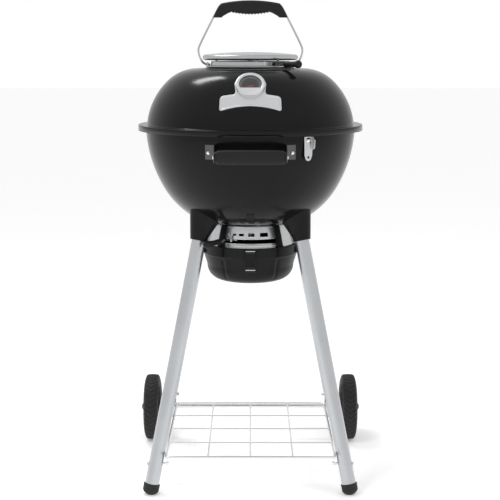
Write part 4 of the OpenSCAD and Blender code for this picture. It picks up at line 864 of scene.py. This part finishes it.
flute = np.clip(1.25 - np.abs(np.abs(m_az) - 36) / 2.6, 0, 1)
flute = flute * flute * (3 - 2 * flute) * np.clip((BAND_LOW - 3 * MM - z) / (4 * MM), 0, 1)
flute = flute * np.clip((z - BUCKET_FLOOR - 3 * MM) / (12 * MM), 0, 1)
r = np.hypot(rel[:, 0], rel[:, 1])
shrink = 1 - np.where(r > 0, 1.6 * MM * flute / np.maximum(r, 1e-6), 0)
points = AXIS + rel * np.stack([shrink, shrink, np.ones(len(r))], 1)
bucket = piece("ash_bucket_pressing", (points, faces), "bucket", SATIN_BLACK, "ash_bucket", solid=False, sharp=50)
walled(bucket, 1.2 * MM)
ears = []
for az0, pin_r, pin_z, width in ((78, 130, 20, 14), (-78, 130, 20, 14), (0, 128.5, 10, 28)):
    for s in (-1, 1):
        at = facing(az0, pin_r * MM, HEM_Z - pin_z * MM)
        origin = at.pop("origin") + np.array(at["x"]) * s * (width / 2 + 1.7) * MM + np.array(at["y"]) * 1.5 * MM
        ears.append(block((2.4 * MM, (pin_r - 120) * MM, 8 * MM), origin, 6, 14, **at))
piece("bucket_ears", joined(*ears), "bucket", SATIN_BLACK)

# %% [markdown]
# The front latch is a small pressed door with a raised rib and a bright bar to pull it by. Its slot above and
# below is not cut but painted as shade: a black block on the door stands in for the dark inside each slot. It hangs
# on a pin between the bucket's two ears.

# %% The bucket's latch
latch_x = 14 * MM
pin_r, pin_z = 128.5 * MM, HEM_Z - 10 * MM
side_line = filleted(np.array([[-2.5, 6], [2.2, 6], [2.6, -20], [7, -46], [5.6, -50], [1, -50], [-2.5, -20]])
                     * MM, 1.6 * MM, 5, True)
u = np.linspace(-1, 1, 41)[:, None]
edge_in = 0.9 * MM * np.clip((np.abs(u) - 0.93) / 0.07, 0, 1) ** 2
middle_line = side_line.mean(0)
radial, upward = side_line[None, :, 0], side_line[None, :, 1]
front_face = radial > 0.8 * MM
rib = 1.3 * MM * np.exp(-((u * latch_x) / (2.6 * MM)) ** 2) * np.clip((36 * MM - np.abs(upward + 22 * MM) * 2)
                                                                      / (6 * MM), 0, 1)
shape_r = radial - np.sign(radial - middle_line[0]) * edge_in + rib * front_face
shape_z = upward - np.sign(upward - middle_line[1]) * edge_in
body_points = np.stack([u * latch_x + 0 * shape_r, -(pin_r + shape_r), pin_z + shape_z], -1) + AXIS
caps = [np.repeat(body_points[k].mean(0)[None, None], body_points.shape[1], 1) for k in (0, -1)]
body_points = np.concatenate([caps[0], body_points, caps[1]], 0)
piece("latch_door", grid(body_points, False, True), "front_latch", SATIN_BLACK, "bucket_latch", sharp=40)
bar_y = -(pin_r + 6.6 * MM)
pull = tube(straight(AXIS + [-latch_x + 2 * MM, bar_y, pin_z - 43 * MM],
                     AXIS + [latch_x - 2 * MM, bar_y, pin_z - 43 * MM]), 1.7 * MM, 12, False, (0, 0, 1))
lip_bar = block((25 * MM, 1.4 * MM, 2.2 * MM), AXIS + [0, -(pin_r + 2.4 * MM), pin_z + 4.6 * MM], 6, 14)
piece("latch_pull", joined(pull, lip_bar), "front_latch", STEEL)
# painted shade: black rubber blocks on the door stand in for the dark seen through its two slots
slot_shade_blocks = [block((22 * MM, 1.2 * MM, 3.4 * MM), AXIS + [0, -(pin_r + d * MM), pin_z + h * MM], 6, 14)
              for d, h in ((2.2, 0.4), (6.0, -38.2))]
piece("latch_slot_painted_shade", joined(*slot_shade_blocks), "front_latch", RUBBER)

# %% [markdown]
# The rest of the CAD nodes have the right shape already. Their meshes are loose triangles, so a small node tree
# merges the doubles, shades the faces smooth and keeps every edge above 32 degrees sharp. A narrow bevel then
# rounds those edges, so that they catch the light as real ones do.

# %% Rounded edges and finishes for the carried-over nodes
SHARP_ABOVE, ROUND_ABOVE, EDGE_WIDTH = math.radians(32), math.radians(40), 0.35 * MM


def smoother():
    """A Geometry Nodes group: merge by distance, shade smooth, then edges above SHARP_ABOVE set sharp."""
    group = bpy.data.node_groups.new("merge_and_shade", "GeometryNodeTree")
    group.interface.new_socket("Geometry", in_out="INPUT", socket_type="NodeSocketGeometry")
    group.interface.new_socket("Geometry", in_out="OUTPUT", socket_type="NodeSocketGeometry")
    add = group.nodes.new
    start, end = add("NodeGroupInput"), add("NodeGroupOutput")
    merge, faces, edges = (add(n) for n in ("GeometryNodeMergeByDistance", "GeometryNodeSetShadeSmooth",
                                            "GeometryNodeSetShadeSmooth"))
    merge.inputs["Distance"].default_value = 2e-6
    edges.domain = "EDGE"
    angle, steep = add("GeometryNodeInputMeshEdgeAngle"), add("FunctionNodeCompare")
    steep.operation = "LESS_THAN"
    steep.inputs["B"].default_value = SHARP_ABOVE
    group.links.new(start.outputs[0], merge.inputs["Geometry"])
    group.links.new(merge.outputs["Geometry"], faces.inputs["Geometry"])
    group.links.new(faces.outputs["Geometry"], edges.inputs["Geometry"])
    group.links.new(angle.outputs["Unsigned Angle"], steep.inputs["A"])
    group.links.new(steep.outputs["Result"], edges.inputs["Shade Smooth"])
    group.links.new(edges.outputs["Geometry"], end.inputs[0])
    return group


SMOOTHER = smoother()


def carried(node, material):
    """Gives a CAD node its finish, a merged and shaded mesh, and rounded edges unless it is left unbevelled."""
    obj = NODES[node]
    obj.data.materials.clear()
    obj.data.materials.append(material)
    obj.modifiers.new("merge", "NODES").node_group = SMOOTHER
    if node not in UNBEVELLED:
        rounding = obj.modifiers.new("edges", "BEVEL")
        rounding.width = EDGE_WIDTH
        rounding.segments = 2
        rounding.limit_method = "ANGLE"
        rounding.angle_limit = ROUND_ABOVE
        rounding.harden_normals = False


FINISHES = {
    SATIN_BLACK: ["housing_struts", "housing_straps", "bucket_clip_left", "bucket_clip_right"],
    BRUSHED: ["side_panel_left", "side_panel_right", "opener_plate"],
    CHROME: ["gauge_probe", "opener_screw", "rack_screws", "grip_screws"],
    WIRE: ["axle"],
    STEEL: ["cap_posts", "gauge_nut", "damper_disc", "damper_lever", "sweep_lever", "cooking_grate",
            "charcoal_grate"],
    # the grip brackets are silver steel; their dark finish here is painted shade
    DARK_STEEL_AND_PAINTED_SHADE: ["grate_supports", "ash_sweep", "grip_bracket_left", "grip_bracket_right"],
    WHEEL_PLASTIC: ["wheel_left", "wheel_right", "axle_caps", "end_plug_left", "end_plug_right"],
    POINTER: ["gauge_pointer"], DIAL: ["gauge_dial"], GLASS: ["gauge_glass"],
}
UNBEVELLED = {"cooking_grate", "charcoal_grate", "gauge_glass", "gauge_pointer", "gauge_dial", "ash_sweep",
              "damper_disc", "grate_supports"}
for material, names in FINISHES.items():
    for node in names:
        carried(node, material)
print("carried over:", sum(map(len, FINISHES.values())))

# %% [markdown]
# The stage is a pale floor under an even, pale sky, with two soft boxes: one high on the left, whose reflection
# gives the enamel its streak, and a weaker one on the right. The camera looks slightly down from well in front.

# %% Floor, light and camera
bpy.context.scene.view_settings.view_transform = "Standard"
floor_mesh = bpy.data.meshes.new("floor")
floor_mesh.from_pydata([(-14, -9, 0), (14, -9, 0), (14, 30, 0), (-14, 30, 0)], [], [(0, 1, 2, 3)])
floor = bpy.data.objects.new("floor", floor_mesh)
bpy.context.scene.collection.objects.link(floor)
pale = bpy.data.materials.new("pale_floor")
pale.use_nodes = True
paint = pale.node_tree.nodes["Principled BSDF"]
paint.inputs["Base Color"].default_value = (0.93, 0.93, 0.93, 1)
paint.inputs["Roughness"].default_value = 0.7
paint.inputs["Specular IOR Level"].default_value = 0.1
paint.inputs["Emission Color"].default_value = (1, 1, 1, 1)
paint.inputs["Emission Strength"].default_value = 0.21
floor_mesh.materials.append(pale)

world = bpy.data.worlds.new("pale_sky")
bpy.context.scene.world = world
world.use_nodes = True
sky_nodes, sky_links = world.node_tree.nodes, world.node_tree.links
lighting, backdrop = sky_nodes["Background"], sky_nodes.new("ShaderNodeBackground")
lighting.inputs["Color"].default_value = (0.80, 0.80, 0.80, 1)
backdrop.inputs["Color"].default_value = (1, 1, 1, 1)
path, either = sky_nodes.new("ShaderNodeLightPath"), sky_nodes.new("ShaderNodeMixShader")
sky_links.new(path.outputs["Is Camera Ray"], either.inputs["Fac"])
sky_links.new(lighting.outputs["Background"], either.inputs[1])
sky_links.new(backdrop.outputs["Background"], either.inputs[2])
sky_links.new(either.outputs["Shader"], sky_nodes["World Output"].inputs["Surface"])


def softbox(name, position, target, size, power, mirrored=False, along=(1, 0, 0)):
    """A rectangular area light at a position, facing a target, with its first side as near as it can be to the
    direction `along`. Only a mirrored one is seen in reflections."""
    data = bpy.data.lights.new(name, "AREA")
    data.shape = "RECTANGLE"
    data.size, data.size_y, data.energy = *size, power
    lamp = bpy.data.objects.new(name, data)
    bpy.context.scene.collection.objects.link(lamp)
    back = (Vector(position) - Vector(target)).normalized()
    side = (Vector(along) - Vector(along).project(back)).normalized()
    lamp.location = position
    lamp.rotation_euler = Matrix((side, back.cross(side), back)).transposed().to_euler()
    lamp.visible_glossy = mirrored


softbox("key_box", (-1.5, -2.0, 2.9), (0, 0, 0.9), (0.9, 0.9), 26)
softbox("fill_box", (2.4, -1.6, 2.2), (0, 0, 0.7), (1.4, 1.4), 12)
softbox("streak_box", (-0.93, 0.74, 2.85), (-0.105, -0.165, 1.04), (0.78, 0.40), 20, mirrored=True,
        along=(0.70, 0.0, 0.10))

camera_data = bpy.data.cameras.new("camera")
camera_data.lens, camera_data.sensor_width = 87.86, 36
camera_data.clip_end = 100
camera_data.shift_x = -0.0008
camera = bpy.data.objects.new("camera", camera_data)
bpy.context.scene.collection.objects.link(camera)
camera.location = AXIS + [0, -3.18, 1.12]
camera.rotation_euler = (math.radians(90 - 9.49), 0, 0)
bpy.context.scene.camera = camera
